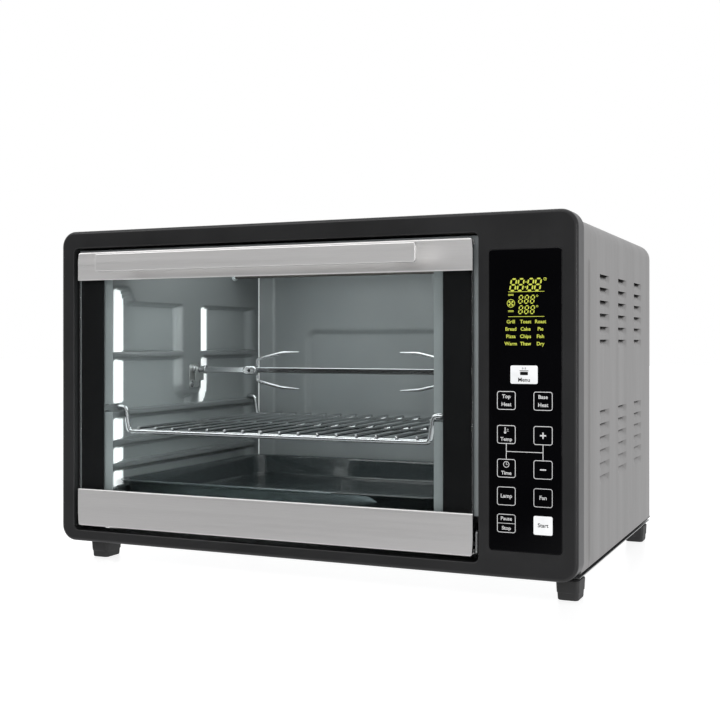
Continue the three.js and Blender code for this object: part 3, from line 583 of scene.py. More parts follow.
def brushed(name, rgb, roughness, fine, broad, contrast, height):
    """Brushed steel: tone, gloss and bump follow grain drawn out along the brushing."""
    material, tree, shader = new_material(name)
    grain = tree.add("Group", {"Fine": fine, "Broad": broad}, node_tree=grain_group()).outputs
    tone = grain["Tone"]
    tree.feed(shader, {"Base Color": tree.blend(tone, shade(rgb, 1 - contrast), shade(rgb, 1 + contrast)),
                       "Roughness": tree.ramp(tone, 0.0, 1.0, roughness + 0.06, roughness - 0.05),
                       "Metallic": 1.0, "Normal": tree.bump(grain["Height"], 0.3, height)})
    return material


def coated_cavity(name, rgb, painted_slope_highlight):
    """The cavity's grey coating, with painted light where the piece's own two attributes say: a painted
    highlight and a painted glow on the slopes of the pressings, and painted shade on their crests."""
    material, tree, shader = new_material(name)
    mottle = tree.mottle(900.0, 9.0)
    slope, crest = (tree.add("Attribute", attribute_name=label).outputs["Fac"] for label in ("slope",
                                                                                             "crest"))
    base = tree.blend(mottle["Marks"], shade(rgb, 0.92), shade(rgb, 1.08))
    # Painted shade: the crests are darkened to 0.68 of the coating's colour.
    base = tree.blend(crest, base, shade(rgb, 0.68))
    # Painted highlight and painted glow: the slopes take the near-white colour and give out 0.6 of it as
    # light.
    tree.feed(shader, {"Base Color": tree.blend(slope, base, shade(painted_slope_highlight)), "Metallic": 0.25,
                       "Emission Color": tree.blend(slope, shade((0.0, 0.0, 0.0)), shade(painted_slope_highlight, 0.6)),
                       "Emission Strength": 1.0, "Roughness": tree.ramp(mottle["Marks"], 0.0, 1.0, 0.30,
                                                                        0.40),
                       "Normal": tree.bump(mottle["Height"], 0.12, 0.02)})
    return material


def enamelled(name, rgb):
    """Dark glossy enamel with pale flecks and a slightly uneven skin."""
    material, tree, shader = new_material(name)
    fleck = tree.add("TexVoronoi", {"Vector": tree.place(), "Scale": 520.0}).outputs["Distance"]
    mottle = tree.mottle(160.0, 20.0)
    mask = tree.maths("MULTIPLY", tree.ramp(fleck, 0.16, 0.08), 0.5)
    tree.feed(shader, {"Base Color": tree.blend(mask, shade(rgb), shade(rgb, 7.0)),
                       "Roughness": tree.ramp(mottle["Marks"], 0.0, 1.0, 0.1, 0.2), "Coat Weight": 0.6,
                       "Coat Roughness": 0.06, "Normal": tree.bump(mottle["Height"], 0.25, 0.06)})
    return material


def clear_glass(name, rgb, roughness=0.0):
    """Clear glass: a transmitting shader with faint wiping marks in its tint, and lamps' rays let
    straight through."""
    material, tree, shader = new_material(name)
    marks = tree.mottle(60.0, 6.0)["Marks"]
    tree.feed(shader, {"Base Color": tree.blend(marks, shade(rgb, 0.985), shade(rgb)), "Roughness": roughness,
                       "Transmission Weight": 1.0, "IOR": 1.45})
    through = tree.add("BsdfTransparent", {"Color": shade(rgb, 0.97)})
    path = tree.add("LightPath").outputs
    factor = tree.maths("MAXIMUM", path["Is Shadow Ray"], path["Is Diffuse Ray"])
    mix = tree.add("MixShader", {0: factor, 1: shader.outputs[0], 2: through.outputs[0]})
    tree.links.new(mix.outputs[0], material.node_tree.nodes["Material Output"].inputs["Surface"])
    return material


def lit(name, rgb, strength, uneven=0.12):
    """A lit print: its colour glows, slightly uneven as behind a diffuser."""
    material, tree, shader = new_material(name)
    marks = tree.mottle(300.0, 60.0)["Marks"]
    tree.feed(shader, {"Emission Color": tree.blend(marks, shade(rgb, 1.0 - uneven), shade(rgb)),
                       "Base Color": tree.blend(marks, shade(rgb, 0.25 - 0.4 * uneven), shade(rgb, 0.25)),
                       "Emission Strength": strength, "Roughness": 0.3})
    return material


def circuit(name):
    """A circuit board: green mask with copper-coloured tracks in a square pattern."""
    material, tree, shader = new_material(name)
    track = tree.add("TexBrick", {"Vector": tree.place(), "Scale": 110.0, "Color1": (0.012, 0.1, 0.04, 1.0),
                                  "Color2": (0.014, 0.13, 0.05, 1.0), "Mortar": (0.05, 0.22, 0.08, 1.0),
                                  "Mortar Size": 0.06}).outputs
    tree.feed(shader, {"Base Color": track["Color"], "Roughness": tree.ramp(track["Fac"], 0.0, 1.0, 0.28,
                                                                            0.42)})
    return material


ALONG_X = ((35.0, 900.0, 2600.0), (3.0, 60.0, 260.0))
AROUND_COVER = ((40.0, 2400.0, 40.0), (2.0, 46.0, 2.0))

# Each finish has the material slot that its pieces usually take, and what makes its material.
FINISHES = {
    "plastic": ("black_plastic", lambda c: satin("Fascia plastic", c.plastic, 0.34, scale=1400.0, spread=0.06,
                                                 wear=0.25, specular=0.35)),
    "rubber": ("rubber", lambda c: satin("Foot rubber", c.rubber, 0.62, scale=600.0, height=0.08, wear=0.5)),
    "cover": ("cover_steel", lambda c: brushed("Cover steel", c.cover, 0.40, *AROUND_COVER, 0.08, 0.012)),
    "band": ("brushed_steel", lambda c: brushed("Band steel", c.band, 0.46, *ALONG_X, 0.05, 0.01)),
    "zinc": ("galvanised_steel", lambda c: satin("Zinc plate", c.zinc, 0.36, 0.9, scale=300.0, spread=0.1,
                                                 contrast=0.07, slow=70.0)),
    "cavity": ("cavity_steel", lambda c: coated_cavity("Cavity coating", c.cavity, c.painted_slope_highlight)),
    # Painted light: a copy of the cavity coating made 1.9 times lighter, so the front frame and the heater
    # collars read as lit.
    "painted_light_frame_coat": ("cavity_steel", lambda c: satin("Frame coating", [value * 1.9 for value in c.cavity], 0.4,
                                                   0.2)),
    "black_paint": ("black_paint", lambda c: satin("Black door paint", (0.006, 0.006, 0.0065), 0.4,
                                                   scale=500.0, specular=0.15)),
    "chrome": ("chrome_wire", lambda c: satin("Chrome wire", c.chrome, 0.2, 1.0, scale=500.0, height=0.01,
                                              contrast=0.06)),
    "enamel": ("enamel", lambda c: enamelled("Tray enamel", c.enamel)),
    "glass": ("door_glass", lambda c: clear_glass("Door glass", c.glass)),
    "black_glass": ("black_glass", lambda c: satin("Control glass", c.black_glass, 0.06, scale=40.0,
                                                   height=0.0, spread=0.03, specular=0.3)),
    "display": ("black_glass", lambda c: lit("Lit display", c.display, 1.0)),
    "ink": ("black_glass", lambda c: satin("Key ink", c.ink, 0.5, scale=1200.0)),
    "key_white": ("black_glass", lambda c: lit("White keys", (0.92, 0.93, 0.94), 0.85)),
    "key_black": ("black_glass", lambda c: satin("Black key ink", (0.004, 0.004, 0.004), 0.6, specular=0.1)),
    "circuit": ("circuit_board", lambda c: circuit("Circuit board")),
    "component": ("component", lambda c: satin("Component casing", (0.03, 0.032, 0.035), 0.5, scale=700.0)),
    "sheath": ("heater_sheath", lambda c: satin("Heater sheath", (0.10, 0.092, 0.085), 0.5, 0.7, scale=350.0,
                                                spread=0.2, contrast=0.3, slow=50.0)),
    "lens": ("lamp_glass", lambda c: clear_glass("Lamp glass", (0.95, 0.97, 0.97), 0.08)),
    "bulb": ("lamp_glass", lambda c: lit("Lamp filament", (1.0, 0.82, 0.55), 3.0)),
}
_finishes = {}


def finish(key):
    """The material for a finish, built once."""
    if key not in _finishes:
        _finishes[key] = FINISHES[key][1](bpy.context.scene.oven_colours)
    return _finishes[key]


# ---------------------------------------------------------------- casing
def fascia_shape(edge):
    """The fascia's solid outline, its front edge a quarter circle."""
    low, high = box_of("front_fascia")
    a = np.linspace(0.0, np.pi / 2, 7)
    rows = [(low[1] + edge * (1 - math.cos(t)), edge * (1 - math.sin(t))) for t in a]
    rows += [(high[1] - 0.6, 0.0), (high[1], 0.6)]
    corner = 15.0
    return layered([(y, (low[0] + cut, high[0] - cut), (low[2] + cut, high[2] - cut), corner - cut)
                    for y, cut in rows], "y", steps=10)


def doorway_cutter(edge):
    """What the doorway takes out of the fascia: an opening 5 mm wider than the door on each side
    and about 4 mm higher and lower, flared to the front by a quarter circle."""
    low, high = box_of("door_top_band")
    x = (low[0] - 5.0, high[0] + 5.0)
    z = (box_of("door_bottom_band")[0][2] - 4.5, high[2] + 4.0)
    a = np.linspace(0.0, np.pi / 2, 5)
    rows = [(FRONT - 2.0, edge)] + [(FRONT + edge * (1 - math.cos(t)), edge * (1 - math.sin(t))) for t in a]
    rows.append((FRONT + 40.0, 0.0))
    return layered([(y, (x[0] - grow, x[1] + grow), (z[0] - grow, z[1] + grow), 5.0 + grow)
                    for y, grow in rows], "y")


class OVEN_OT_fascia(Operator):
    """Mould the black front fascia with its doorway and control window"""
    bl_idname = "toaster_oven.fascia"
    bl_label = "Fascia"

    def execute(self, context):
        shell = context.scene.oven_shell
        low, high = box_of("control_glass")
        gap = 0.3
        window = layered([(y, (low[0] - gap, high[0] + gap), (low[2] - gap, high[2] + gap), 3.2)
                          for y in (FRONT - 2, FRONT + 40)], "y")
        cut = joined(doorway_cutter(shell.doorway_edge / MM), window)
        make("fascia_moulding", fascia_shape(shell.fascia_edge / MM), "plastic", "front_fascia", cut=cut)
        return {"FINISHED"}


LOUVRE_COLUMNS = (117.0, 200.5, 283.3)
LOUVRE_ROWS = tuple(bottom + 11.7 * row for bottom in (91.0, 213.0) for row in range(6))
BEAD = {"y": 52.6, "half_width": 3.2, "top": 286.0}


def louvre_depth(y, z, upper, shell):
    """How far the sheet is pressed in: along the height it grows with the share t of the louvre's
    height to the power 1.2, up to its free edge; towards both ends it eases out over a ramp."""
    half = shell.louvre_width / MM / 2
    height = shell.louvre_height / MM
    depth = np.zeros(np.broadcast(y, z).shape)
    for column in LOUVRE_COLUMNS:
        across = ease((half - np.abs(y - FRONT - column)) / (shell.louvre_ramp / MM))
        for row in LOUVRE_ROWS:
            t = (z - row) / height + 0.5
            live = (t > 0) & (t < 1.001) & ~upper
            depth += np.where(live, across * np.clip(t, 0, 1) ** 1.2, 0.0)
    return depth * shell.louvre_depth / MM


def cover_lines(shell, side_top, arc, flat):
    """The cover's grid lines as distances along its section, with a mark on each line that is the
    upper edge of a louvre's slit: that line stands twice, once pressed and once flat."""
    half = shell.louvre_height / MM / 2
    steps = np.array((-half - 0.8, -half, -half * 0.55, -0.1, half * 0.5, half * 0.8, half, half))
    rows = (np.array(LOUVRE_ROWS)[:, None] + steps).ravel()
    upper = np.tile(np.arange(len(steps)) == len(steps) - 1, len(LOUVRE_ROWS))
    low = box_of("outer_cover")[0][2]
    plain = np.concatenate((low + np.array((0.0, 1.5, 12.0, 35.0, 55.0)), (165.0, 185.0, 202.0, 283.0, 286.0,
                           289.0, 296.0), [side_top]))
    distance = np.concatenate((rows - low, plain - low))
    upper = np.concatenate((upper, np.zeros(len(plain), bool)))
    bend = side_top - low + arc * np.linspace(0, 1, 9)[1:]
    top = side_top - low + arc + flat / 2 * np.linspace(0, 1, 9)[1:]
    distance = np.concatenate((distance, bend, top))
    upper = np.concatenate((upper, np.zeros(len(bend) + len(top), bool)))
    order = np.lexsort((upper, distance))
    return distance[order], upper[order]


def cover_half(shell):
    """The right half of the wrap-round cover. Across, it goes up the side, round a quarter circle
    and along the top; from front to back it is straight and then rolls in by a quarter circle.
    Louvres and the bead are offsets along the surface's normal."""
    low, high = box_of("outer_cover")
    corner, curl = 16.0, shell.cover_curl / MM
    side_top, arc = high[2] - corner, corner * np.pi / 2
    flat = 2 * (high[0] - corner)
    along, upper = cover_lines(shell, side_top, arc, flat)
    rise = side_top - low[2]
    turn = np.clip((along - rise) / arc, 0, 1) * np.pi / 2
    over = np.maximum(along - rise - arc, 0)
    x = high[0] - corner + corner * np.cos(turn) - over
    z = low[2] + np.minimum(along, rise) + corner * np.sin(turn)

    steps = np.array((-21.8, -21, -19, -17, -15, -13, -6.5, 0, 6.5, 13, 15, 17, 19, 21, 21.8))
    columns = (np.array(LOUVRE_COLUMNS)[:, None] + steps).ravel()
    bead = BEAD["y"] + np.linspace(-1.3, 1.3, 9) * BEAD["half_width"]
    plain = np.array((low[1] - FRONT, 32.0, 42.0, 75.0, 158.5, 242.0, 320.0, 340.0))
    straight = np.sort(np.concatenate((columns, bead, plain))) + FRONT
    straight = straight[straight < high[1] - curl]
    roll = np.linspace(0.0, np.pi / 2, 8)
    y = np.concatenate((straight, high[1] - curl + curl * np.sin(roll)))
    inset = np.concatenate((np.zeros(len(straight)), curl * (1 - np.cos(roll))))

    on_side = np.where(along <= rise, z, 1e4)[:, None]
    pressed = louvre_depth(y[None, :], on_side, upper[:, None], shell)
    ridge = ease(1 - np.abs(y - FRONT - BEAD["y"]) / BEAD["half_width"])[None, :]
    ridge = ridge * ease((BEAD["top"] - on_side) / 4) * ease((on_side - low[2] - 6) / 4)
    offset = ridge * shell.bead_height / MM - pressed - inset[None, :]
    points = np.stack((x[:, None] + np.cos(turn)[:, None] * offset,
                       np.broadcast_to(y, offset.shape),
                       z[:, None] + np.sin(turn)[:, None] * offset), -1)
    shape_points, faces = surface(points)
    faces = np.array(faces).reshape(len(along) - 1, len(y) - 1, 4)
    slit = np.diff(along) < 1e-6
    return shape_points, faces[~slit].reshape(-1, 4).tolist()


class OVEN_OT_cover(Operator):
    """Fold the brushed cover with its pressed louvres and stiffening bead"""
    bl_idname = "toaster_oven.cover"
    bl_label = "Cover"

    def execute(self, context):
        shell = context.scene.oven_shell
        low, high = box_of("outer_cover")
        half = cover_half(shell)
        fold = softened([(high[0] - 9.0, low[2] + 2.0), (high[0] - 9.0, low[2]), (high[0], low[2])], 1.0)
        y = (high[1] - 2.0, low[1] + 0.3)
        flange = surface(np.stack([placed(fold, level, "y") for level in y]))
        shape = joined(half, mirrored(half), flange, mirrored(flange))
        middle = (0.0, (low[1] + high[1]) / 2, 100.0)
        make("wrap_cover", shape, "cover", "outer_cover", inside=middle, sheet=shell.cover_sheet / MM)
        return {"FINISHED"}


REAR_VENT_ROWS = (250.0, 262.0, 274.0, 286.0)
REAR_VENT_COLUMNS = (-150.0, -50.0, 50.0, 150.0)


def rear_plate(low, high):
    """The rear plate: flat, with a shallow panel pressed in. The offset is the depth of the press
    times a smooth step of the distance from each edge of the panel, so it is a function of x and z."""
    x = np.sort(np.concatenate((np.linspace(low[0], high[0], 60), np.linspace(-169, -162, 9),
                                np.linspace(162, 169, 9))))
    z = np.sort(np.concatenate((np.linspace(low[2], high[2], 40), np.linspace(51, 58, 9),
                                np.linspace(230, 237, 9))))
    across = (168.0 - np.abs(x))[None, :]
    upright = np.minimum(z - 52.0, 236.0 - z)[:, None]
    y = high[1] - 3.4 * ease(across / 5.0) * ease(upright / 5.0)
    return surface(np.stack((np.broadcast_to(x, y.shape), y, np.broadcast_to(z[:, None], y.shape)), -1))


class OVEN_OT_rear(Operator):
    """Press the rear plate and fit its screws, wall spacers, cable gland and the base"""
    bl_idname = "toaster_oven.rear"
    bl_label = "Rear"

    def execute(self, context):
        low, high = box_of("rear_panel")
        curl = context.scene.oven_shell.cover_curl / MM
        inner_low = np.array((low[0] + curl - 1.5, low[1], low[2] + 4.5))
        inner_high = np.array((high[0] - curl + 1.5, high[1] - 0.1, high[2] - curl + 1.5))
        gland = centre_of("cable_gland")
        hole = lathe([(high[1] - 20, 9.8), (high[1] + 20, 9.8)], "y", gland)
        slots = [block((x - 30, x + 30), (z - 1.75, z + 1.75), (high[1] - 9, high[1] + 9), 1.7, 0.01, "y",
                       4, 1) for z in REAR_VENT_ROWS for x in REAR_VENT_COLUMNS]
        make("rear_plate", rear_plate(inner_low, inner_high), "zinc", "rear_panel", inside=(0, 0, 170),
             sheet=0.8, cut=joined(hole, *slots))
        places = [(sign * 238.0, z) for sign in (-1, 1) for z in (32.0, 120.0, 215.0, 300.0)]
        places += [(-100.0, 302.0), (100.0, 302.0), (-100.0, 32.0), (100.0, 32.0)]
        heads = [screw_head((x, high[1] - 0.1, z), 3.8, "y", 1) for x, z in places]
        make("rear_screws", joined(*heads), "chrome", slot="galvanised_steel")
        for side in SIDES:
            node = f"rear_spacer_{side}"
            low, high = box_of(node)
            body = node_block(node, 5.0, 2.0)
            grooves = [block((low[0] + 5, high[0] - 5), (z - 1.2, z + 1.2), (high[1] - 1.2, high[1] + 4), 1.1,
                             0.01, "y", 3, 1) for z in np.linspace(low[2] + 10, high[2] - 10, 5)]
            make(f"wall_spacer_{side}", body, "plastic", node, cut=joined(*grooves))
        low, high = box_of("cable_gland")
        profile = [(low[1], 4.6), (low[1], 12.0), (low[1] + 2.7, 12.0), (low[1] + 2.7, 9.0),
                   (low[1] + 4.1, 9.0), (low[1] + 4.1, 11.4), (high[1] - 1.5, 11.4), (high[1], 9.6),
                   (high[1], 4.6)]
        make("gland_bush", ring(profile, "y", gland), "plastic", "cable_gland", edge=0.3)
        dress("zinc", "base_pan")
        return {"FINISHED"}


class OVEN_OT_feet(Operator):
    """Mould the four tapered rubber feet"""
    bl_idname = "toaster_oven.feet"
    bl_label = "Feet"

    def execute(self, context):
        for place in ("front_left", "front_right", "rear_left", "rear_right"):
            node = f"foot_{place}"
            low, high = box_of(node)
            middle = (low + high) / 2
            half = (high - low) / 2
            levels = np.array((0.0, 0.35, 1.2, 4.0, 6.0, 6.6, high[2] - 0.8, high[2]))
            scale = np.array((0.83, 0.87, 0.885, 0.9, 0.91, 0.955, 0.995, 0.97))
            layers = [(z, (middle[0] - half[0] * s, middle[0] + half[0] * s), (middle[1] - half[1] * s,
                                                                               middle[1] + half[1] * s),
                       3.2) for z, s in zip(levels, scale)]
            recess = lathe([(-1.0, 3.2), (2.4, 3.2)], "z", (middle[0], middle[1], 0))
            make(f"rubber_{node}", layered(layers, "z"), "rubber", node, cut=recess, edge=0.2)
        return {"FINISHED"}


# ---------------------------------------------------------------- cavity
RIB_LEVELS = ((70.0, 90.0), (93.0, 113.0), (116.0, 142.0), (145.0, 200.0), (203.0, 256.0))
PANEL_Y = (10.0, 296.0)
BAND_Y = (134.0, 172.0)
BAND_BOTTOM = 158.0
RACK_WAY = (144.0, 153.6)
CREST, PRESS_DEPTH = 169.0, 8.0


def wall_press(y, z, sizes, band):
    """How far a cavity side wall is pressed out at (y, z), from 0 on its crests to 1 on the
    bottom of its panels. Each panel lies between two shelf ribs and eases in from its four edges;
    the front corner of the top panel reaches higher; the band that carries the spit is spared."""
    front = np.clip((y - PANEL_Y[0]) / (sizes.panel_front_slope / MM), 0, 1)
    front = np.maximum(front, (z > RACK_WAY[0]) & (z < RACK_WAY[1]))
    rear = ease((PANEL_Y[1] - y) / (sizes.panel_rear_slope / MM))
    press = np.zeros(np.broadcast(y, z).shape)
    for low, high in RIB_LEVELS:
        top = high + 14.0 * ease((46.0 - y) / 16.0) if high > 250 else high
        lower = ease((z - low) / (sizes.rib_shelf / MM))
        upper = ease((top - z) / (sizes.rib_slope / MM))
        press = np.maximum(press, front * rear * lower * upper)
    if band:
        middle = (BAND_Y[0] + BAND_Y[1]) / 2
        half = (BAND_Y[1] - BAND_Y[0]) / 2 - 12.0
        aside = np.maximum(np.abs(y - middle) - half, 0.0)
        below = np.maximum(BAND_BOTTOM + 12.0 - z, 0.0)
        away = np.hypot(aside, below) - 12.0
        slope = np.where(y > middle, 24.0, 5.0)
        press = press * np.clip(away / slope, 0, 1)
    return press


def side_wall(sizes, sign, band):
    """A cavity side wall over a grid of y and z, its x the crest plane plus the pressing."""
    node = "cavity_left_wall" if sign < 0 else "cavity_right_wall"
    low, high = box_of(node)
    y = np.arange(low[1], high[1] + 0.1, 3.3)
    fine = np.arange(low[2], high[2] + 0.1, 1.3)
    edges = np.concatenate([(a, a + 0.8, b - 0.1, b) for a, b in RIB_LEVELS])
    z = np.unique(np.round(np.concatenate((fine, edges)), 2))
    press = wall_press(y[None, :] - FRONT, z[:, None], sizes, band)
    x = CAVITY_X + sign * (CREST + PRESS_DEPTH * press)
    points = np.stack((x, np.broadcast_to(y, x.shape), np.broadcast_to(z[:, None], x.shape)), -1)
    return surface(points)


def paint_slopes(piece):
    """Writes two attributes that mark painted light: "slope", 0 where the wall is flat and 1 where it turns
    to face the back of the oven, as the front slopes of the pressed panels do, where the coating paints a
    highlight and a glow;
    and the crest mask, 1 on the crests between the panels and 0 on the bottom of the panels, 8 mm further
    out, where the coating paints shade."""
    mesh = piece.data
    count = len(mesh.vertices)
    normals = np.zeros(count * 3)
    places = np.zeros(count * 3)
    mesh.vertices.foreach_get("normal", normals)
    mesh.vertices.foreach_get("co", places)
    normals = normals.reshape(-1, 3)
    inward = np.sign(CAVITY_X * MM - places.reshape(-1, 3)[:, 0]) * normals[:, 0]
    slope = ease((normals[:, 1] - 0.12) / 0.12) * (inward > 0)
    outward = np.abs(places.reshape(-1, 3)[:, 0] / MM - CAVITY_X)
    for label, values in (("slope", slope), ("crest", ease((173.0 - outward) / 3.0))):
        attribute = mesh.attributes.new(label, "FLOAT", "POINT")
        attribute.data.foreach_set("value", values)


def back_wall(sizes):
    """The back wall: along it the plan goes in by the left bevel, across and out by the right one,
    its corners softened; a rounded panel is pressed backwards by an eased distance to its edge."""
    low, high = box_of("cavity_back")
    bevel = 19.0
    plan = softened([(low[0] + 0.6, low[1]), (low[0] + bevel, high[1] - 0.6), (high[0] - bevel,
                                                                               high[1] - 0.6),
                     (high[0] - 0.6, low[1])], 3.0, 4)
    x = np.linspace(low[0] + bevel + 3, high[0] - bevel - 3, 150)
    left, right = plan[plan[:, 0] < x[0]], plan[plan[:, 0] > x[-1]]
    plan = np.vstack((left, np.column_stack((x, np.full_like(x, high[1] - 0.6))), right))
    z = np.linspace(low[2], high[2], 120)
    u, v = plan[:, 0][None, :], z[:, None]
    corner = 14.0
    du = np.abs(u + 35.0) - (115.0 - corner)
    dv = np.abs(v - 173.0) - (56.0 - corner)
    away = np.hypot(np.maximum(du, 0), np.maximum(dv, 0)) + np.minimum(np.maximum(du, dv), 0) - corner
    offset = sizes.back_emboss / MM * ease(-away / 5.0)
    y = plan[:, 1][None, :] + offset
    return surface(np.stack((np.broadcast_to(u, y.shape), y, np.broadcast_to(v, y.shape)), -1))


def pressed_sheet(node, inset, depth, up):
    """A flat sheet with a rounded panel pressed up or down over a grid of x and y."""
    low, high = box_of(node)
    x, y = np.linspace(low[0], high[0], 60), np.linspace(low[1], high[1], 60)
    aside = np.minimum(x - low[0], high[0] - x)[None, :] - inset
    behind = np.minimum(y - low[1], high[1] - y)[:, None] - inset
    level = (low[2] if up > 0 else high[2]) + up * depth * ease(aside / 10.0) * ease(behind / 10.0)
    return surface(np.stack((np.broadcast_to(x, level.shape), np.broadcast_to(y[:, None], level.shape),
                             level), -1))


def through_wall(sign, y, z, radius):
    """A round cutter through a side wall."""
    return lathe([(CAVITY_X + sign * 160.0, radius), (CAVITY_X + sign * 190.0, radius)], "x", (0, y, z), 24)


class OVEN_OT_cavity(Operator):
    """Press the cavity's walls, roof, floor and front frame"""
    bl_idname = "toaster_oven.cavity"
    bl_label = "Cavity"

    def execute(self, context):
        sizes = context.scene.oven_cavity
        sheet = sizes.sheet / MM
        middle = (CAVITY_X, 0.0, 170.0)
        heaters = [centre_of(f"heater_{level}_{place}") for level in ("upper", "lower")
                   for place in ("front", "rear")]
        for side, sign in SIDES.items():
            cutters = [through_wall(sign, y, z, 4.4) for _, y, z in heaters]
            if sign > 0:
                fan = centre_of("fan_blade")
                for node, radius in (("spit_socket", 9.0), ("lamp_lens", 15.4), ("temperature_sensor", 3.5)):
                    _, y, z = centre_of(node)
                    cutters.append(through_wall(sign, y, z, radius))
                for step in (-24.0, -8.0, 8.0, 24.0):
                    z = (fan[2] + step - 2.0, fan[2] + step + 2.0)
                    cutters.append(block((fan[1] - 22.0, fan[1] + 22.0), z, (CAVITY_X + 160, CAVITY_X + 190),
                                         1.95, 0.01, "x", 4, 1))
            wall = make(f"{side}_wall", side_wall(sizes, sign, sign < 0), "cavity", f"cavity_{side}_wall",
                        inside=middle, sheet=sheet, cut=joined(*cutters), sharp=60.0)
            paint_slopes(wall)
        make("back_wall", back_wall(sizes), "cavity", "cavity_back", inside=middle, sheet=sheet, sharp=60.0)
        make("roof_sheet", pressed_sheet("cavity_roof", 24.0, 3.0, 1), "cavity", "cavity_roof",
             inside=middle, sheet=sheet, sharp=60.0)
        make("floor_sheet", pressed_sheet("cavity_floor", 18.0, 3.0, -1), "cavity", "cavity_floor",
             inside=middle, sheet=sheet, sharp=60.0)
        self.front_frame()
        return {"FINISHED"}

    def front_frame(self):
        """The frame round the cavity's mouth: an arch with rounded inner corners, slotted where
        the rack's ends pass."""
        low, high = box_of("cavity_front_frame")
        mouth, corner, top = 168.0, 9.0, high[2] - 4.0
        turn = np.linspace(0, np.pi / 2, 7)
        right = np.column_stack((CAVITY_X + mouth - corner + corner * np.cos(turn),
                                 top - corner + corner * np.sin(turn)))
        slot = np.array([(mouth, RACK_WAY[0] + 1.5), (mouth + 9.0, RACK_WAY[0] + 1.5),
                         (mouth + 9.0, RACK_WAY[1] - 0.5), (mouth, RACK_WAY[1] - 0.5)])
        right = np.vstack((slot + (CAVITY_X, 0), right))
        left = right[::-1].copy()
        left[:, 0] = 2 * CAVITY_X - left[:, 0]
        inner = np.vstack(([(CAVITY_X + mouth, low[2])], right, left, [(CAVITY_X - mouth, low[2])]))
        outline = np.vstack((inner, [(low[0], low[2]), (low[0], high[2]), (high[0], high[2]),
                                     (high[0], low[2])]))
        make("front_frame", prism(outline, (low[1], high[1])), "painted_light_frame_coat", "cavity_front_frame", edge=0.2)


class OVEN_OT_heaters(Operator):
    """Fit the four sheathed heating elements, the lamp and the sensors"""
    bl_idname = "toaster_oven.heaters"
    bl_label = "Heaters and lamp"

    def execute(self, context):
        for level in ("upper", "lower"):
            for place in ("front", "rear"):
                node = f"heater_{level}_{place}"
                low, high = box_of(node)
                centre = (low + high) / 2
                sheath = soft_rod((low[0] + 4, high[0] - 4), 3.6, 0.8, "x", centre, 24)
                make(f"element_{level}_{place}", sheath, "sheath", node)
                ends = []
                for sign in SIDES.values():
                    wall = CAVITY_X + sign * 168.6
                    collar = [(wall - sign * 3.0, 3.8), (wall - sign * 3.0, 5.4), (wall - sign * 1.0, 6.6),
                              (wall, 6.6), (wall, 3.8)]
                    ends.append(ring(collar, "x", centre, 24))
                make(f"collar_{level}_{place}", joined(*ends), "painted_light_frame_coat", slot="heater_sheath")
        self.lamp()
        dress("chrome", "temperature_sensor")
        dress("component", "thermal_cutout", "lamp_holder")
        return {"FINISHED"}

    def lamp(self):
        low, high = box_of("lamp_lens")
        centre = (low + high) / 2
        turn = np.linspace(0.0, np.pi / 2, 8)
        dome = [(low[0] + 6.0 * (1 - math.cos(t)), 14.8 * math.sin(t)) for t in turn]
        back = [(high[0] - 1.0, 14.8), (high[0] - 1.0, 12.8)]
        hollow = [(low[0] + 2.0 + 5.0 * (1 - math.cos(t)), 12.8 * math.sin(t)) for t in turn[::-1]]
        make("lens_glass", lathe(dome + back + hollow, "x", centre, 40), "lens", "lamp_lens")
        wall = CAVITY_X + CREST
        rim = softened([(wall - 0.2, 15.0), (wall - 2.4, 15.0), (wall - 2.4, 17.5), (wall - 0.6, 19.5),
                        (wall - 0.2, 19.5)], 0.6)
        make("lens_ring", ring(rim, "x", centre, 40), "chrome", slot="cavity_steel")
        dress("bulb", "lamp_bulb")


class OVEN_OT_rack(Operator):
    """Bend and weld the chromed wire rack"""
    bl_idname = "toaster_oven.rack"
    bl_label = "Wire rack"

    def execute(self, context):
        sizes = context.scene.oven_cavity
        low, high = box_of("wire_rack")
        wire, rod = sizes.frame_wire / MM / 2, sizes.rod / MM / 2
        reach = (high[0] - low[0]) / 2 - wire
        plane, rail = low[2] + wire, high[2] - wire
        front, rear = low[1] + wire, high[1] - wire
        bend = softened([(-reach, 0, rail), (-reach + 8, 0, rail), (-reach + 11.5, 0, plane),
                         (reach - 11.5, 0, plane), (reach - 8, 0, rail), (reach, 0, rail)], 5.0, 6)
        parts = []
        for y in (front, rear):
            parts.append(tube(bend + (CAVITY_X, y, 0), wire, (0, 1, 0)))
        cross = [(CAVITY_X + sign * (reach - 11.5), (front + rear) / 2, plane) for sign in (-1, 1)]
        parts.append(tube(cross, wire * 0.85, (0, 1, 0)))
        for x in CAVITY_X + np.linspace(-reach + 23.5, reach - 23.5, sizes.rods):
            ends = [(x, front - 1.0, plane + wire + rod * 0.7), (x, rear + 1.0, plane + wire + rod * 0.7)]
            parts.append(tube(ends, rod, (1, 0, 0), 10))
        make("chrome_rack", joined(*parts), "chrome", "wire_rack", body="rack")
        return {"FINISHED"}


class OVEN_OT_tray(Operator):
    """Draw the enamelled bake tray"""
    bl_idname = "toaster_oven.tray"
    bl_label = "Bake tray"

    def execute(self, context):
        low, high = box_of("bake_tray")
        bottom, rim = low[2], high[2]
        outer = softened([(13.0, bottom), (9.5, bottom), (6.4, rim - 1.4), (0.4, rim - 1.4)], 3.0, 5)
        curl = [(0.0, rim - 1.1), (0.0, rim - 0.4), (0.5, rim)]
        inner = softened([(0.5, rim), (7.6, rim), (10.6, bottom + 1.0), (14.0, bottom + 1.0)], 3.0, 5)
        rows = np.vstack((outer, curl, inner[1:]))
        layers = [(z, (low[0] + cut, high[0] - cut), (low[1] + cut, high[1] - cut), 20.0 - cut * 0.5)
                  for cut, z in rows]
        make("enamel_tray", layered(layers, "z", 10), "enamel", "bake_tray")
        return {"FINISHED"}


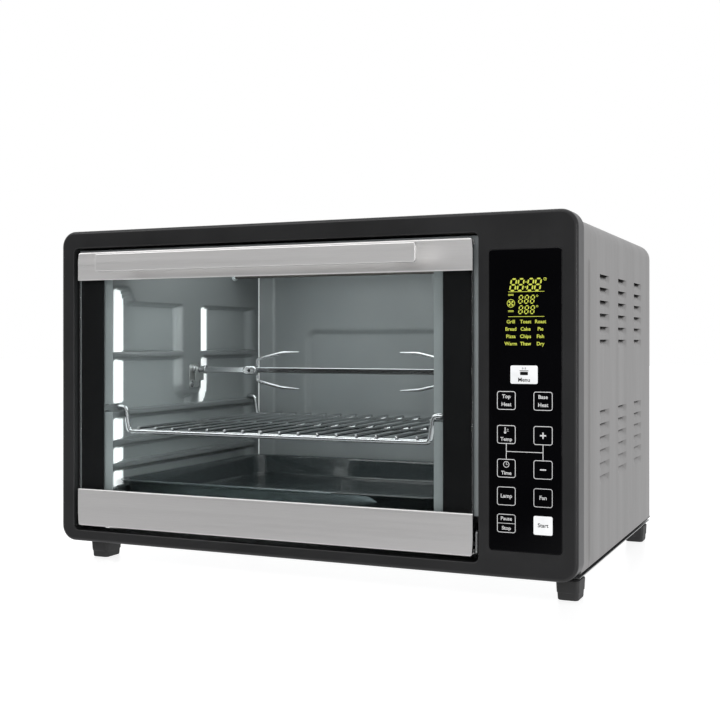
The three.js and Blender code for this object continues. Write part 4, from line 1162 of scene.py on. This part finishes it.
class OVEN_OT_rotisserie(Operator):
    """Make the spit, its socket and bracket, the two forks and their thumbscrews"""
    bl_idname = "toaster_oven.rotisserie"
    bl_label = "Rotisserie"

    def execute(self, context):
        low, high = box_of("spit_rod")
        _, y, z = centre_of("spit_rod")
        shaft = block((y - 3, y + 3), (z - 3, z + 3), (low[0] + 14, high[0]), 0.7, 1.2, "x", 3)
        end = softened([(low[0], 0.0), (low[0], 4.6), (low[0] + 2.6, 4.6), (low[0] + 3.4, 3.0),
                        (low[0] + 11.6, 3.0), (low[0] + 12.4, 4.6), (low[0] + 15.4, 4.6), (low[0] + 15.4,
                                                                                           0.0)], 0.7)
        make("spit_bar", joined(shaft, lathe(end, "x", (0, y, z))), "chrome", "spit_rod", body="spit")
        low, high = box_of("spit_socket")
        sleeve = softened([(low[0], 4.9), (low[0], 7.0), (high[0], 7.0), (high[0], 4.9)], 0.8)
        sleeve = np.vstack((sleeve, [(high[0], 3.4), (low[0] + 1.0, 3.4)]))
        make("drive_sleeve", ring(sleeve, "x", (0, y, z), 32), "zinc", "spit_socket", body="spit")
        for side, sign in SIDES.items():
            self.fork(context, side, -sign)
        self.bracket()
        dress("zinc", "spit_motor")
        return {"FINISHED"}

    def fork(self, context, side, direction):
        """One fork: a square hub on the rod, two tines that step out, kink and run to points."""
        low, high = box_of(f"spit_fork_{side}")
        _, y, z = (low + high) / 2
        radius = context.scene.oven_cavity.tine / MM / 2
        hub = (low[0] if direction > 0 else high[0]) + direction * 7.0
        bodies = [block((y - 7, y + 7), (z - 8, z + 8), (hub - 7, hub - 3), 3.0, 0.8, "x"),
                  block((y - 5.6, y + 5.6), (z - 7, z + 7), (hub - 4, hub + 7), 2.0, 0.8, "x")]
        spread = (high[2] - low[2]) / 2 - radius
        for up in (-1, 1):
            path = softened([(hub, y, z + up * 6), (hub, y, z + up * 11.5), (hub + direction * 30, y,
                                                                             z + up * (spread - 1)),
                             (hub + direction * 50, y, z + up * spread)], 3.0, 5)
            count = len(path)
            taper = np.where(np.arange(count) == count - 1, 0.35, 1.0) * radius
            bodies.append(tube(path, taper, (0, 1, 0), 14))
        make(f"fork_{side}_tines", joined(*bodies), "chrome", f"spit_fork_{side}", body=f"fork_{side}",
             cut=block((y - 3.3, y + 3.3), (z - 3.3, z + 3.3), (hub - 12, hub + 12), 0.6, 0.01, "x", 3, 1))
        low, high = box_of(f"fork_screw_{side}")
        centre = (low + high) / 2
        shank = soft_rod((low[1] + 4, high[1]), 2.0, 0.4, "y", centre)
        collar = soft_rod((low[1] + 5.2, low[1] + 8.4), 4.6, 0.6, "y", centre)
        wing = block((low[0], high[0]), (low[2], high[2]), (low[1], low[1] + 5.0), 3.9, 1.6, "y", 8, 5)
        waist = [(low[1], 1.4), (low[1], 1.6), (low[1] + 5.0, 1.6), (low[1] + 5.0, 1.4)]
        parts = [shank, collar, wing, lathe(waist, "y", centre)]
        make(f"thumbscrew_{side}", joined(*parts), "chrome", f"fork_screw_{side}",
             body=f"fork_screw_{side}")

    def bracket(self):
        """The bracket that the spit's left end lies in: a plate, a shelf and an open-topped cheek."""
        low, high = box_of("spit_bracket")
        _, y, z = centre_of("spit_rod")
        plate = block((y - 10, y + 10), (low[2], high[2]), (low[0], low[0] + 0.9), 4.0, 0.3, "x")
        shelf = block((y - 6, y + 6), (z - 12.2, z - 11.2), (low[0] + 0.4, high[0] - 0.4), 0.4, 0.2, "x", 3)
        turn = np.linspace(np.pi, 2 * np.pi, 13)
        seat = 3.7
        notch = np.column_stack((y + seat * np.cos(turn), z + seat * np.sin(turn)))
        outline = np.vstack(([(y - 8, z + 4), (y - seat - 0.6, z + 4)], notch, [(y + seat + 0.6, z + 4),
                             (y + 8, z + 4), (y + 8, z - 12), (y - 8, z - 12)]))
        cheek = prism(outline, (high[0] - 1.1, high[0]), "x")
        make("spit_cradle", joined(plate, shelf, cheek), "zinc", "spit_bracket", slot="cavity_steel",
             edge=0.15)
        low, high = box_of("spit_bracket_screw")
        _, screw_y, screw_z = (low + high) / 2
        make("cradle_screw", screw_head((low[0] + 0.4, screw_y, screw_z), 3.6, "x", 1), "chrome",
             "spit_bracket_screw")


class OVEN_OT_fan(Operator):
    """Twist the convection fan's blades on their hub"""
    bl_idname = "toaster_oven.fan"
    bl_label = "Fan"

    def execute(self, context):
        low, high = box_of("fan_blade")
        x, y, z = (low + high) / 2
        span = np.linspace(6.0, 37.0, 12)[:, None]
        chord = np.linspace(-1.0, 1.0, 7)[None, :]
        pitch = 0.75 - 0.35 * (span - 6.0) / 31.0
        width = 7.0 + 3.0 * ease((span - 6.0) / 14.0)
        blade = surface(np.stack((chord * width * np.sin(pitch) * 0.7, chord * width * np.cos(pitch),
                                  np.broadcast_to(span, (12, 7))), -1))
        blades = [turned_about(moved(blade, x, y, z), 0, 2 * math.pi * i / 6, np.array((x, y, z)))
                  for i in range(6)]
        make("fan_blades", joined(*blades), "zinc", "fan_blade", body="fan", inside=(x + 60, y, z),
             sheet=0.7)
        hub = softened([(low[0], 0.0), (low[0], 6.0), (low[0] + 2, 7.0), (high[0], 7.0), (high[0], 0.0)], 0.8)
        make("fan_hub", lathe(hub, "x", (0, y, z)), "zinc", body="fan")
        dress("zinc", "fan_motor")
        return {"FINISHED"}


# ---------------------------------------------------------------- door
def folded_band(node, fold, corner, up):
    """A steel band folded round one edge of the door. Its profile runs down the front face, round
    a softened fold, back over the edge and down the rear lip; near the edge its ends draw in along
    quarter circles, corner - sqrt(corner^2 - d^2) at depth d into the corner."""
    low, high = box_of(node)
    edge, root = (high[2], low[2]) if up > 0 else (low[2], high[2])
    lip = edge - up * 5.5
    profile = [(low[1] + 0.9, root), (low[1], root + up * 0.5)]
    profile += [(low[1], root + (edge - root) * t) for t in (0.3, 0.6)]
    profile += [(low[1], edge), (high[1], edge), (high[1], lip)]
    path = softened(profile, fold, 5)
    into = np.clip(corner - up * (edge - path[:, 1]), 0, corner)
    cut = corner - np.sqrt(corner ** 2 - into ** 2)
    return strip(path, (low[0] + cut, high[0] - cut), 12)


def spring_shape(low, high, pin_y, pin_z, wire):
    """A torsion spring: a helix of four turns round the pin, angle growing evenly along x, with an
    arm up at one end and one down at the other."""
    sides = np.linspace(0.0, 8.0 * np.pi, 97)
    x = np.linspace(high[0] - wire, low[0] + wire, 97)
    coil = np.column_stack((x, pin_y + 3.1 * np.cos(sides), pin_z - 3.1 * np.sin(sides)))
    up = np.column_stack((np.full(4, x[0]), np.full(4, pin_y + 3.1), np.linspace(pin_z + 14, pin_z + 1, 4)))
    down = np.column_stack((np.full(2, x[-1]), np.full(2, pin_y + 3.1), np.linspace(pin_z - 1, pin_z - 3, 2)))
    return tube(np.vstack((up, coil, down)), wire, (1.0, 0.02, 0.03), 8)


class OVEN_OT_door(Operator):
    """Build the door: glass, folded steel bands, black stiles and hinges"""
    bl_idname = "toaster_oven.door"
    bl_label = "Door"

    def execute(self, context):
        door = context.scene.oven_door
        pane = node_block("door_glass", 3.0, door.glass_edge / MM)
        make("glass_pane", pane, "glass", "door_glass", body="door")
        for place, up in (("top", 1), ("bottom", -1)):
            node = f"door_{place}_band"
            make(f"steel_band_{place}", folded_band(node, door.band_fold / MM, 4.0, up), "band", node,
                 body="door", inside=(DOOR_X, FRONT + 4.0, 170.0), sheet=door.band_sheet / MM, edge=0.12)
        for side, sign in SIDES.items():
            self.stile(side, sign)
            self.hinge(door, side, sign)
        return {"FINISHED"}

    def stile(self, side, sign):
        """A black stile behind the glass's edge, with the ear that turns on the hinge pin."""
        low, high = box_of(f"door_stile_{side}")
        outer = high[0] if sign > 0 else low[0]
        x = (outer - 1.5, outer) if sign > 0 else (outer, outer + 1.5)
        plate = block((low[0], high[0]), (58.0, high[2]), (low[1], low[1] + 1.2), 1.5, 0.3, "y")
        ear = block((low[1] + 0.9, high[1]), (low[2], 72.0), x, 2.5, 0.3, "x")
        pin = centre_of(f"hinge_pin_{side}")
        hole = lathe([(outer - 6, 2.55), (outer + 6, 2.55)], "x", pin, 24)
        make(f"stile_plate_{side}", joined(plate, ear), "black_paint", f"door_stile_{side}", body="door",
             cut=hole)
        x = (low[0] + high[0]) / 2 + sign * 4.0
        heads = [screw_head((x, low[1] + 1.2, z), 3.0, "y", 1) for z in (92.0, 180.0, 268.0)]
        make(f"stile_screws_{side}", joined(*heads), "black_paint", body="door")

    def hinge(self, door, side, sign):
        """The fixed bracket beside the doorway, its pin and its spring."""
        low, high = box_of(f"hinge_bracket_{side}")
        pin_low, pin_high = box_of(f"hinge_pin_{side}")
        pin = (pin_low + pin_high) / 2
        outer = (high[0] - 2.0, high[0]) if sign > 0 else (low[0], low[0] + 2.0)
        plate = block((low[1], high[1]), (low[2], high[2]), outer, 3.0, 0.4, "x")
        foot = block((low[0], high[0]), (low[2], high[2]), (high[1] - 8.0, high[1] - 6.5), 1.5, 0.4, "y")
        hole = lathe([(low[0] - 3, 2.5), (high[0] + 3, 2.5)], "x", pin, 24)
        make(f"hinge_plate_{side}", joined(plate, foot), "zinc", f"hinge_bracket_{side}", cut=hole)
        start, end = (pin_low[0], pin_high[0]) if sign > 0 else (pin_high[0], pin_low[0])
        profile = softened([(start, 0.0), (start, 2.2), (end - sign * 1.3, 2.2), (end - sign * 1.3, 3.6),
                            (end, 3.4), (end, 0.0)], 0.4)
        make(f"pivot_pin_{side}", lathe(profile, "x", pin, 24), "chrome", f"hinge_pin_{side}",
             slot="galvanised_steel")
        low, high = box_of(f"hinge_spring_{side}")
        make(f"torsion_spring_{side}", spring_shape(low, high, pin[1], pin[2], door.spring_wire / MM / 2),
             "chrome", f"hinge_spring_{side}")


class OVEN_OT_handle(Operator):
    """Shape the flat bar handle and its two posts"""
    bl_idname = "toaster_oven.handle"
    bl_label = "Handle"

    def execute(self, context):
        door = context.scene.oven_door
        bar = node_block("handle_bar", door.handle_corner / MM, door.handle_edge / MM, edge_steps=4)
        make("handle_grip", bar, "band", "handle_bar", body="door")
        for side in SIDES:
            node = f"handle_post_{side}"
            low, high = box_of(node)
            centre = (low + high) / 2
            profile = softened([(low[1] - 0.2, 0.0), (low[1] - 0.2, 5.0), (high[1] - 2.6, 5.0),
                                (high[1] - 0.9, 6.4), (high[1], 6.4), (high[1], 0.0)], 0.8)
            make(f"handle_stand_{side}", lathe(profile, "y", centre), "band", node, body="door")
        return {"FINISHED"}


# ---------------------------------------------------------------- controls
SEGMENTS = {"top": ((0.12, 1.0), (0.88, 1.0)), "middle": ((0.12, 0.5), (0.88, 0.5)), "bottom": ((0.12, 0.0),
                                                                                                (0.88,
                                                                                                 0.0)),
            "upper_left": ((0.0, 0.56), (0.0, 0.94)), "upper_right": ((1.0, 0.56), (1.0, 0.94)),
            "lower_left": ((0.0, 0.06), (0.0, 0.44)), "lower_right": ((1.0, 0.06), (1.0, 0.44)), }
SLANT = 0.16


def bar_outline(start, end, width):
    """A six-sided bar between two points, pointed at both ends."""
    start, end = np.asarray(start, float), np.asarray(end, float)
    along = (end - start) / np.linalg.norm(end - start)
    across = np.array((-along[1], along[0])) * width / 2
    step = along * width / 2
    return np.array((start, start + step + across, end - step + across, end, end - step - across,
                     start + step - across))


def digit(x, z, height, levels):
    """A slanted seven-segment eight."""
    width, line = height * 0.46, height * 0.13
    shapes = []
    for start, end in SEGMENTS.values():
        outline = bar_outline((start[0] * width, start[1] * height), (end[0] * width, end[1] * height), line)
        outline[:, 0] += outline[:, 1] * SLANT
        shapes.append(prism(outline + (x, z), levels))
    return shapes


def rectangle(x, z, levels):
    """A thin printed rectangle."""
    return prism([(x[0], z[0]), (x[1], z[0]), (x[1], z[1]), (x[0], z[1])], levels)


def circle_line(x, z, radius, line, levels, segments=28):
    """A printed ring."""
    inner, outer = radius - line / 2, radius + line / 2
    profile = [(levels[0], inner), (levels[0], outer), (levels[1], outer), (levels[1], inner)]
    return ring(profile, "y", (x, 0, z), segments)


def disc(x, z, radius, levels, segments=20):
    """A printed dot."""
    a = np.linspace(0, 2 * np.pi, segments, endpoint=False)
    return prism(np.column_stack((x + radius * np.cos(a), z + radius * np.sin(a))), levels)


def key_outline(x, z, width, height, line, levels):
    """A rounded key outline of even line width."""
    outer = rounded_outline((x - width / 2, x + width / 2), (z - height / 2, z + height / 2), 2.0, 4)
    inner = rounded_outline((x - width / 2 + line, x + width / 2 - line),
                            (z - height / 2 + line, z + height / 2 - line), 2.0 - line, 4)
    rings = [placed(outline, level, "y") for outline, level in
             ((outer, levels[0]), (outer, levels[1]), (inner, levels[1]), (inner, levels[0]))]
    return surface(np.array(rings), close_rows=True, close_columns=True)


def lettering(body, x, z, size, levels):
    """A word as a thin solid, centred at (x, z), read from the front."""
    text = bpy.data.curves.new("word", "FONT")
    text.body = body
    text.size = size
    text.align_x = "CENTER"
    text.align_y = "CENTER"
    text.resolution_u = 3
    text.offset = size * 0.018
    text.extrude = (levels[1] - levels[0]) / 2
    holder = bpy.data.objects.new("word", text)
    bpy.context.scene.collection.objects.link(holder)
    depsgraph = bpy.context.evaluated_depsgraph_get()
    mesh = bpy.data.meshes.new_from_object(holder.evaluated_get(depsgraph))
    flat = np.zeros(len(mesh.vertices) * 3)
    mesh.vertices.foreach_get("co", flat)
    flat = flat.reshape(-1, 3)
    faces = [list(polygon.vertices) for polygon in mesh.polygons]
    points = np.column_stack((x + flat[:, 0], (levels[0] + levels[1]) / 2 - flat[:, 2], z + flat[:, 1]))
    bpy.data.objects.remove(holder)
    bpy.data.curves.remove(text)
    bpy.data.meshes.remove(mesh)
    return points, faces


MODES = (("Grill", "Toast", "Roast"), ("Bread", "Cake", "Pie"), ("Pizza", "Chips", "Fish"),
         ("Warm", "Thaw", "Dry"))
LEFT_KEYS = (("Top\nHeat", 165.6), ("Temp", 137.2), ("Time", 109.0), ("Lamp", 85.8), ("Pause", 63.0))
RIGHT_KEYS = (("Base\nHeat", 165.6), ("+", 137.2), ("-", 109.0), ("Fan", 85.8), ("Start", 63.0))
KEY_X = (199.6, 230.9)


class OVEN_OT_controls(Operator):
    """Fit the black control glass with its lit display and touch keys"""
    bl_idname = "toaster_oven.controls"
    bl_label = "Control panel"

    def execute(self, context):
        panel = context.scene.oven_panel
        low, _ = box_of("control_glass")
        glass = node_block("control_glass", 3.0, 0.35)
        make("control_panel_glass", glass, "black_glass", "control_glass")
        depth = panel.print_depth / MM
        front = (low[1] - depth, low[1] - 0.002)
        above = (front[0] - depth, front[0] - 0.002)
        self.display(panel, front)
        self.keys(panel, front, above)
        dress("circuit", "touch_board", "power_board")
        dress("component", "display_module", "transformer", "relay", "terminal_block")
        return {"FINISHED"}

    def display(self, panel, front):
        """Clock, two temperatures, a fan between heater marks, and the cooking modes."""
        size = panel.digit / MM
        shapes = []
        for x in (202.6, 209.0, 217.2, 223.6):
            shapes += digit(x, 257.2, size, front)
        for z in (260.0, 264.2):
            shapes.append(disc(216.0 + (z - 257.2) * SLANT - 0.6, z, 0.55, front, 10))
        shapes += [circle_line(232.6, 266.4, 1.1, 0.35, front, 16), rectangle((232.5, 232.8), (266.4,
                                                                                               267.2),
                                                                              front), rectangle((232.6,
                                                                                                 233.3),
                                                                                                (266.25,
                                                                                                 266.5),
                                                                                                front)]
        for z in (246.6, 238.0):
            for x in (210.0, 215.0, 220.0):
                shapes += digit(x, z, 6.4, front)
            shapes.append(circle_line(226.0, z + 6.0, 0.7, 0.3, front, 12))
        for z in (256.0, 235.3):
            shapes.append(rectangle((201.2, 232.0), (z, z + 0.4), front))
        fan = (203.6, 246.6)
        shapes.append(circle_line(*fan, 3.2, 0.5, front))
        shapes.append(disc(*fan, 0.7, front, 10))
        for i in range(4):
            a = math.pi / 4 + i * math.pi / 2
            shapes.append(disc(fan[0] + 1.75 * math.cos(a), fan[1] + 1.75 * math.sin(a), 0.82, front, 10))
        for z in (253.0, 239.4):
            shapes += [rectangle((201.2, 205.9), (z + step, z + step + 0.45), front) for step in (0.0, 0.9)]
        for row, words in enumerate(MODES):
            for column, word in enumerate(words):
                shapes.append(lettering(word, 203.5 + 12.6 * column, 231.2 - 6.1 * row, 4.1, front))
        make("display_segments", joined(*shapes), "display", sharp=30.0)

    def keys(self, panel, front, above):
        """Outlined keys, the two white keys with dark printing, and the line that joins the
        temperature and time keys to plus and minus."""
        key, line = panel.key / MM, panel.key_line / MM
        height = key * 0.97
        shapes, white, dark = [], [], []
        for x, names in zip(KEY_X, (LEFT_KEYS, RIGHT_KEYS)):
            for name, z in names:
                if name == "Start":
                    white.append(block((x - key / 2, x + key / 2), (z - height / 2, z + height / 2), front,
                                       1.4, 0.01, "y", 4, 1))
                    dark.append(lettering(name, x, z, 4.6, above))
                    continue
                shapes.append(key_outline(x, z, key, height, line, front))
                if name in "+-":
                    shapes.append(rectangle((x - 2.6, x + 2.6), (z - 0.55, z + 0.55), front))
                    if name == "+":
                        shapes.append(rectangle((x - 0.55, x + 0.55), (z - 2.6, z + 2.6), above))
                elif name == "Pause":
                    shapes.append(lettering(name, x, z + 3.9, 4.3, front))
                    shapes.append(rectangle((x - key / 2 + line, x + key / 2 - line), (z - 0.2, z + 0.2),
                                            front))
                    shapes.append(lettering("Stop", x, z - 4.0, 4.3, front))
                elif name == "Temp":
                    shapes += self.thermometer(x, z + 3.2, front)
                    shapes.append(lettering(name, x, z - 4.0, 4.3, front))
                elif name == "Time":
                    shapes += [circle_line(x, z + 3.2, 2.4, 0.5, front),
                               rectangle((x - 0.2, x + 0.2), (z + 3.2, z + 5.0), front),
                               rectangle((x - 0.2, x + 1.3), (z + 3.0, z + 3.4), front)]
                    shapes.append(lettering(name, x, z - 4.0, 4.3, front))
                elif "\n" in name:
                    first, second = name.split("\n")
                    shapes.append(lettering(first, x, z + 3.3, 4.4, front))
                    shapes.append(lettering(second, x, z - 3.3, 4.4, front))
                else:
                    shapes.append(lettering(name, x, z, 4.6, front))
        left, right = KEY_X
        top, bottom = 137.2 - height / 2, 109.0 + height / 2
        middle = (top + bottom) / 2
        shapes += [rectangle((x - line / 2, x + line / 2), (bottom, top), front) for x in KEY_X]
        shapes.append(rectangle((left + line / 2, right - line / 2), (middle - line / 2, middle + line / 2),
                                front))
        make("key_prints", joined(*shapes), "ink", sharp=30.0)

        x, z = 214.8, 187.3
        white.append(block((x - 11.6, x + 11.6), (z - 7.6, z + 7.6), front, 1.4, 0.01, "y", 4, 1))
        dark.append(lettering("Menu", x, z - 4.4, 4.6, above))
        dark.append(block((x - 3.4, x + 3.4), (z - 0.4, z + 2.4), above, 0.7, 0.01, "y", 3, 1))
        dark.append(rectangle((x - 3.8, x + 3.8), (z + 2.9, z + 3.5), above))
        dark += [rectangle((x + step - 0.2, x + step + 0.2), (z + 4.3, z + 6.0), above) for step in (-1.4,
                                                                                                     0.0,
                                                                                                     1.4)]
        make("white_keys", joined(*white), "key_white", sharp=30.0)
        make("white_key_prints", joined(*dark), "key_black", sharp=30.0)

    def thermometer(self, x, z, front):
        """A small thermometer mark: a bulb, a stem and two graduations."""
        return [disc(x - 1.0, z - 1.4, 1.1, front, 14), rectangle((x - 1.4, x - 0.6), (z - 1.0, z + 2.8),
                                                                  front), rectangle((x + 0.4, x + 2.0),
                                                                                    (z + 0.9, z + 1.3),
                                                                                    front),
                rectangle((x + 0.4, x + 2.0), (z - 0.5, z - 0.1), front)]


# ---------------------------------------------------------------- stage
DARK_SIDE = (-0.445, -0.892, 0.08)
CAMERA = {"place": (0.469, -1.0826, 0.215), "turn": 23.87, "lens": 56.4, "rise": -0.026}


def area_light(name, place, aim, size, power, tint=(1.0, 1.0, 1.0)):
    """A soft rectangular lamp at a place, turned to shine at a point."""
    data = bpy.data.lights.new(name, "AREA")
    data.shape = "RECTANGLE"
    data.size, data.size_y = size
    data.energy = power
    data.color = tint
    lamp = bpy.data.objects.new(name, data)
    bpy.context.scene.collection.objects.link(lamp)
    lamp.location = place
    away = np.array(place) - np.array(aim)
    flat = math.hypot(away[0], away[1])
    lamp.rotation_euler = (math.atan2(flat, away[2]), 0.0, math.atan2(away[0], -away[1]))
    lamp.visible_camera = False
    return lamp


def studio_world(scene):
    """White behind the object for the camera. For everything else a bright soft room with a dark
    part in front, where the glass and the black plastic would mirror it into the camera: its
    brightness rises with the angle from the middle of that part."""
    world = bpy.data.worlds.new("Studio")
    world.use_nodes = True
    scene.world = world
    tree = Tree(world.node_tree)
    background = world.node_tree.nodes["Background"]
    direction = tree.add("TexCoord").outputs["Generated"]
    facing = tree.add("VectorMath", {0: direction, 1: DARK_SIDE}, operation="DOT_PRODUCT").outputs["Value"]
    room = tree.blend(tree.ramp(facing, 0.955, 0.885), (0.004, 0.004, 0.004, 1.0), (0.80, 0.80, 0.81, 1.0))
    seen = tree.add("LightPath").outputs["Is Camera Ray"]
    tree.links.new(tree.blend(seen, room, (1.0, 1.0, 1.0, 1.0)), background.inputs["Color"])
    background.inputs["Strength"].default_value = 1.0


class OVEN_OT_stage(Operator):
    """Set up the floor, the studio light and the camera"""
    bl_idname = "toaster_oven.stage"
    bl_label = "Stage"

    def execute(self, context):
        scene = context.scene
        scene.view_settings.view_transform = "Standard"
        reach = 9000.0
        floor = surface(np.array([[(x, y, -0.2) for x in (-reach, reach)] for y in (-reach, reach)]))
        piece = raw_object("studio_floor", floor, inside=(0, 0, -100))
        piece.data.materials.append(lit("Studio floor", (0.9, 0.9, 0.9), 0.92, 0.0))
        piece.visible_glossy = False
        piece.visible_transmission = False
        studio_world(scene)
        area_light("Key", (-1.5, -2.2, 2.1), (0.0, 0.0, 0.15), (1.8, 1.4), 22.0)
        area_light("Top", (0.2, -0.2, 2.4), (0.0, 0.0, 0.2), (1.6, 1.6), 8.0)
        area_light("Behind", (-0.8, 2.2, 1.6), (0.0, 0.1, 0.2), (1.6, 1.0), 10.0)
        x = CAVITY_X * MM
        glow = area_light("Cavity glow", (x - 0.02, -0.03, 0.292), (x - 0.02, 0.0, 0.0), (0.28, 0.2), 0.55,
                          (0.97, 1.0, 1.0))
        fill = area_light("Cavity fill", (x + 0.03, -0.156, 0.15), (x - 0.02, 0.1, 0.11), (0.28, 0.16), 1.15,
                          (0.97, 1.0, 1.0))
        fill.visible_glossy = False
        for lamp in (glow, fill):
            lamp.visible_transmission = False
        area_light("Side strip", (1.7, -0.95, 0.2), (0.26, 0.0, 0.15), (0.22, 0.5), 5.0)
        data = bpy.data.cameras.new("Camera")
        data.lens = CAMERA["lens"]
        data.sensor_width = 36.0
        data.shift_y = CAMERA["rise"]
        camera = bpy.data.objects.new("Camera", data)
        camera.location = CAMERA["place"]
        camera.rotation_euler = (math.radians(90.0), 0.0, math.radians(CAMERA["turn"]))
        scene.collection.objects.link(camera)
        scene.camera = camera
        return {"FINISHED"}


# ---------------------------------------------------------------- add-on
OPERATORS = (OVEN_OT_fascia, OVEN_OT_cover, OVEN_OT_rear, OVEN_OT_feet, OVEN_OT_cavity, OVEN_OT_heaters,
             OVEN_OT_rack, OVEN_OT_tray, OVEN_OT_rotisserie, OVEN_OT_fan, OVEN_OT_door, OVEN_OT_handle,
             OVEN_OT_controls, OVEN_OT_stage)
GROUPS = {"oven_shell": ShellSizes, "oven_door": DoorSizes, "oven_cavity": CavitySizes,
          "oven_panel": PanelSizes, "oven_colours": OvenColours}


class OVEN_PT_pieces(Panel):
    """Sizes, colours and the operators that build each piece"""
    bl_label = "Toaster Oven"
    bl_space_type = "VIEW_3D"
    bl_region_type = "UI"
    bl_category = "Toaster Oven"

    def draw(self, context):
        for name, group in GROUPS.items():
            box = self.layout.box()
            box.label(text=group.__doc__)
            for size in group.__annotations__:
                box.prop(getattr(context.scene, name), size)
        for operator in OPERATORS:
            self.layout.operator(operator.bl_idname)


def register():
    for group in GROUPS.values():
        bpy.utils.register_class(group)
    for name, group in GROUPS.items():
        setattr(bpy.types.Scene, name, PointerProperty(type=group))
    for operator in OPERATORS:
        bpy.utils.register_class(operator)
    bpy.utils.register_class(OVEN_PT_pieces)


def unregister():
    bpy.utils.unregister_class(OVEN_PT_pieces)
    for operator in reversed(OPERATORS):
        bpy.utils.unregister_class(operator)
    for name, group in GROUPS.items():
        delattr(bpy.types.Scene, name)
        bpy.utils.unregister_class(group)


def main():
    register()
    for operator in OPERATORS:
        group, name = operator.bl_idname.split(".")
        getattr(getattr(bpy.ops, group), name)()


if __name__ == "__main__":
    main()
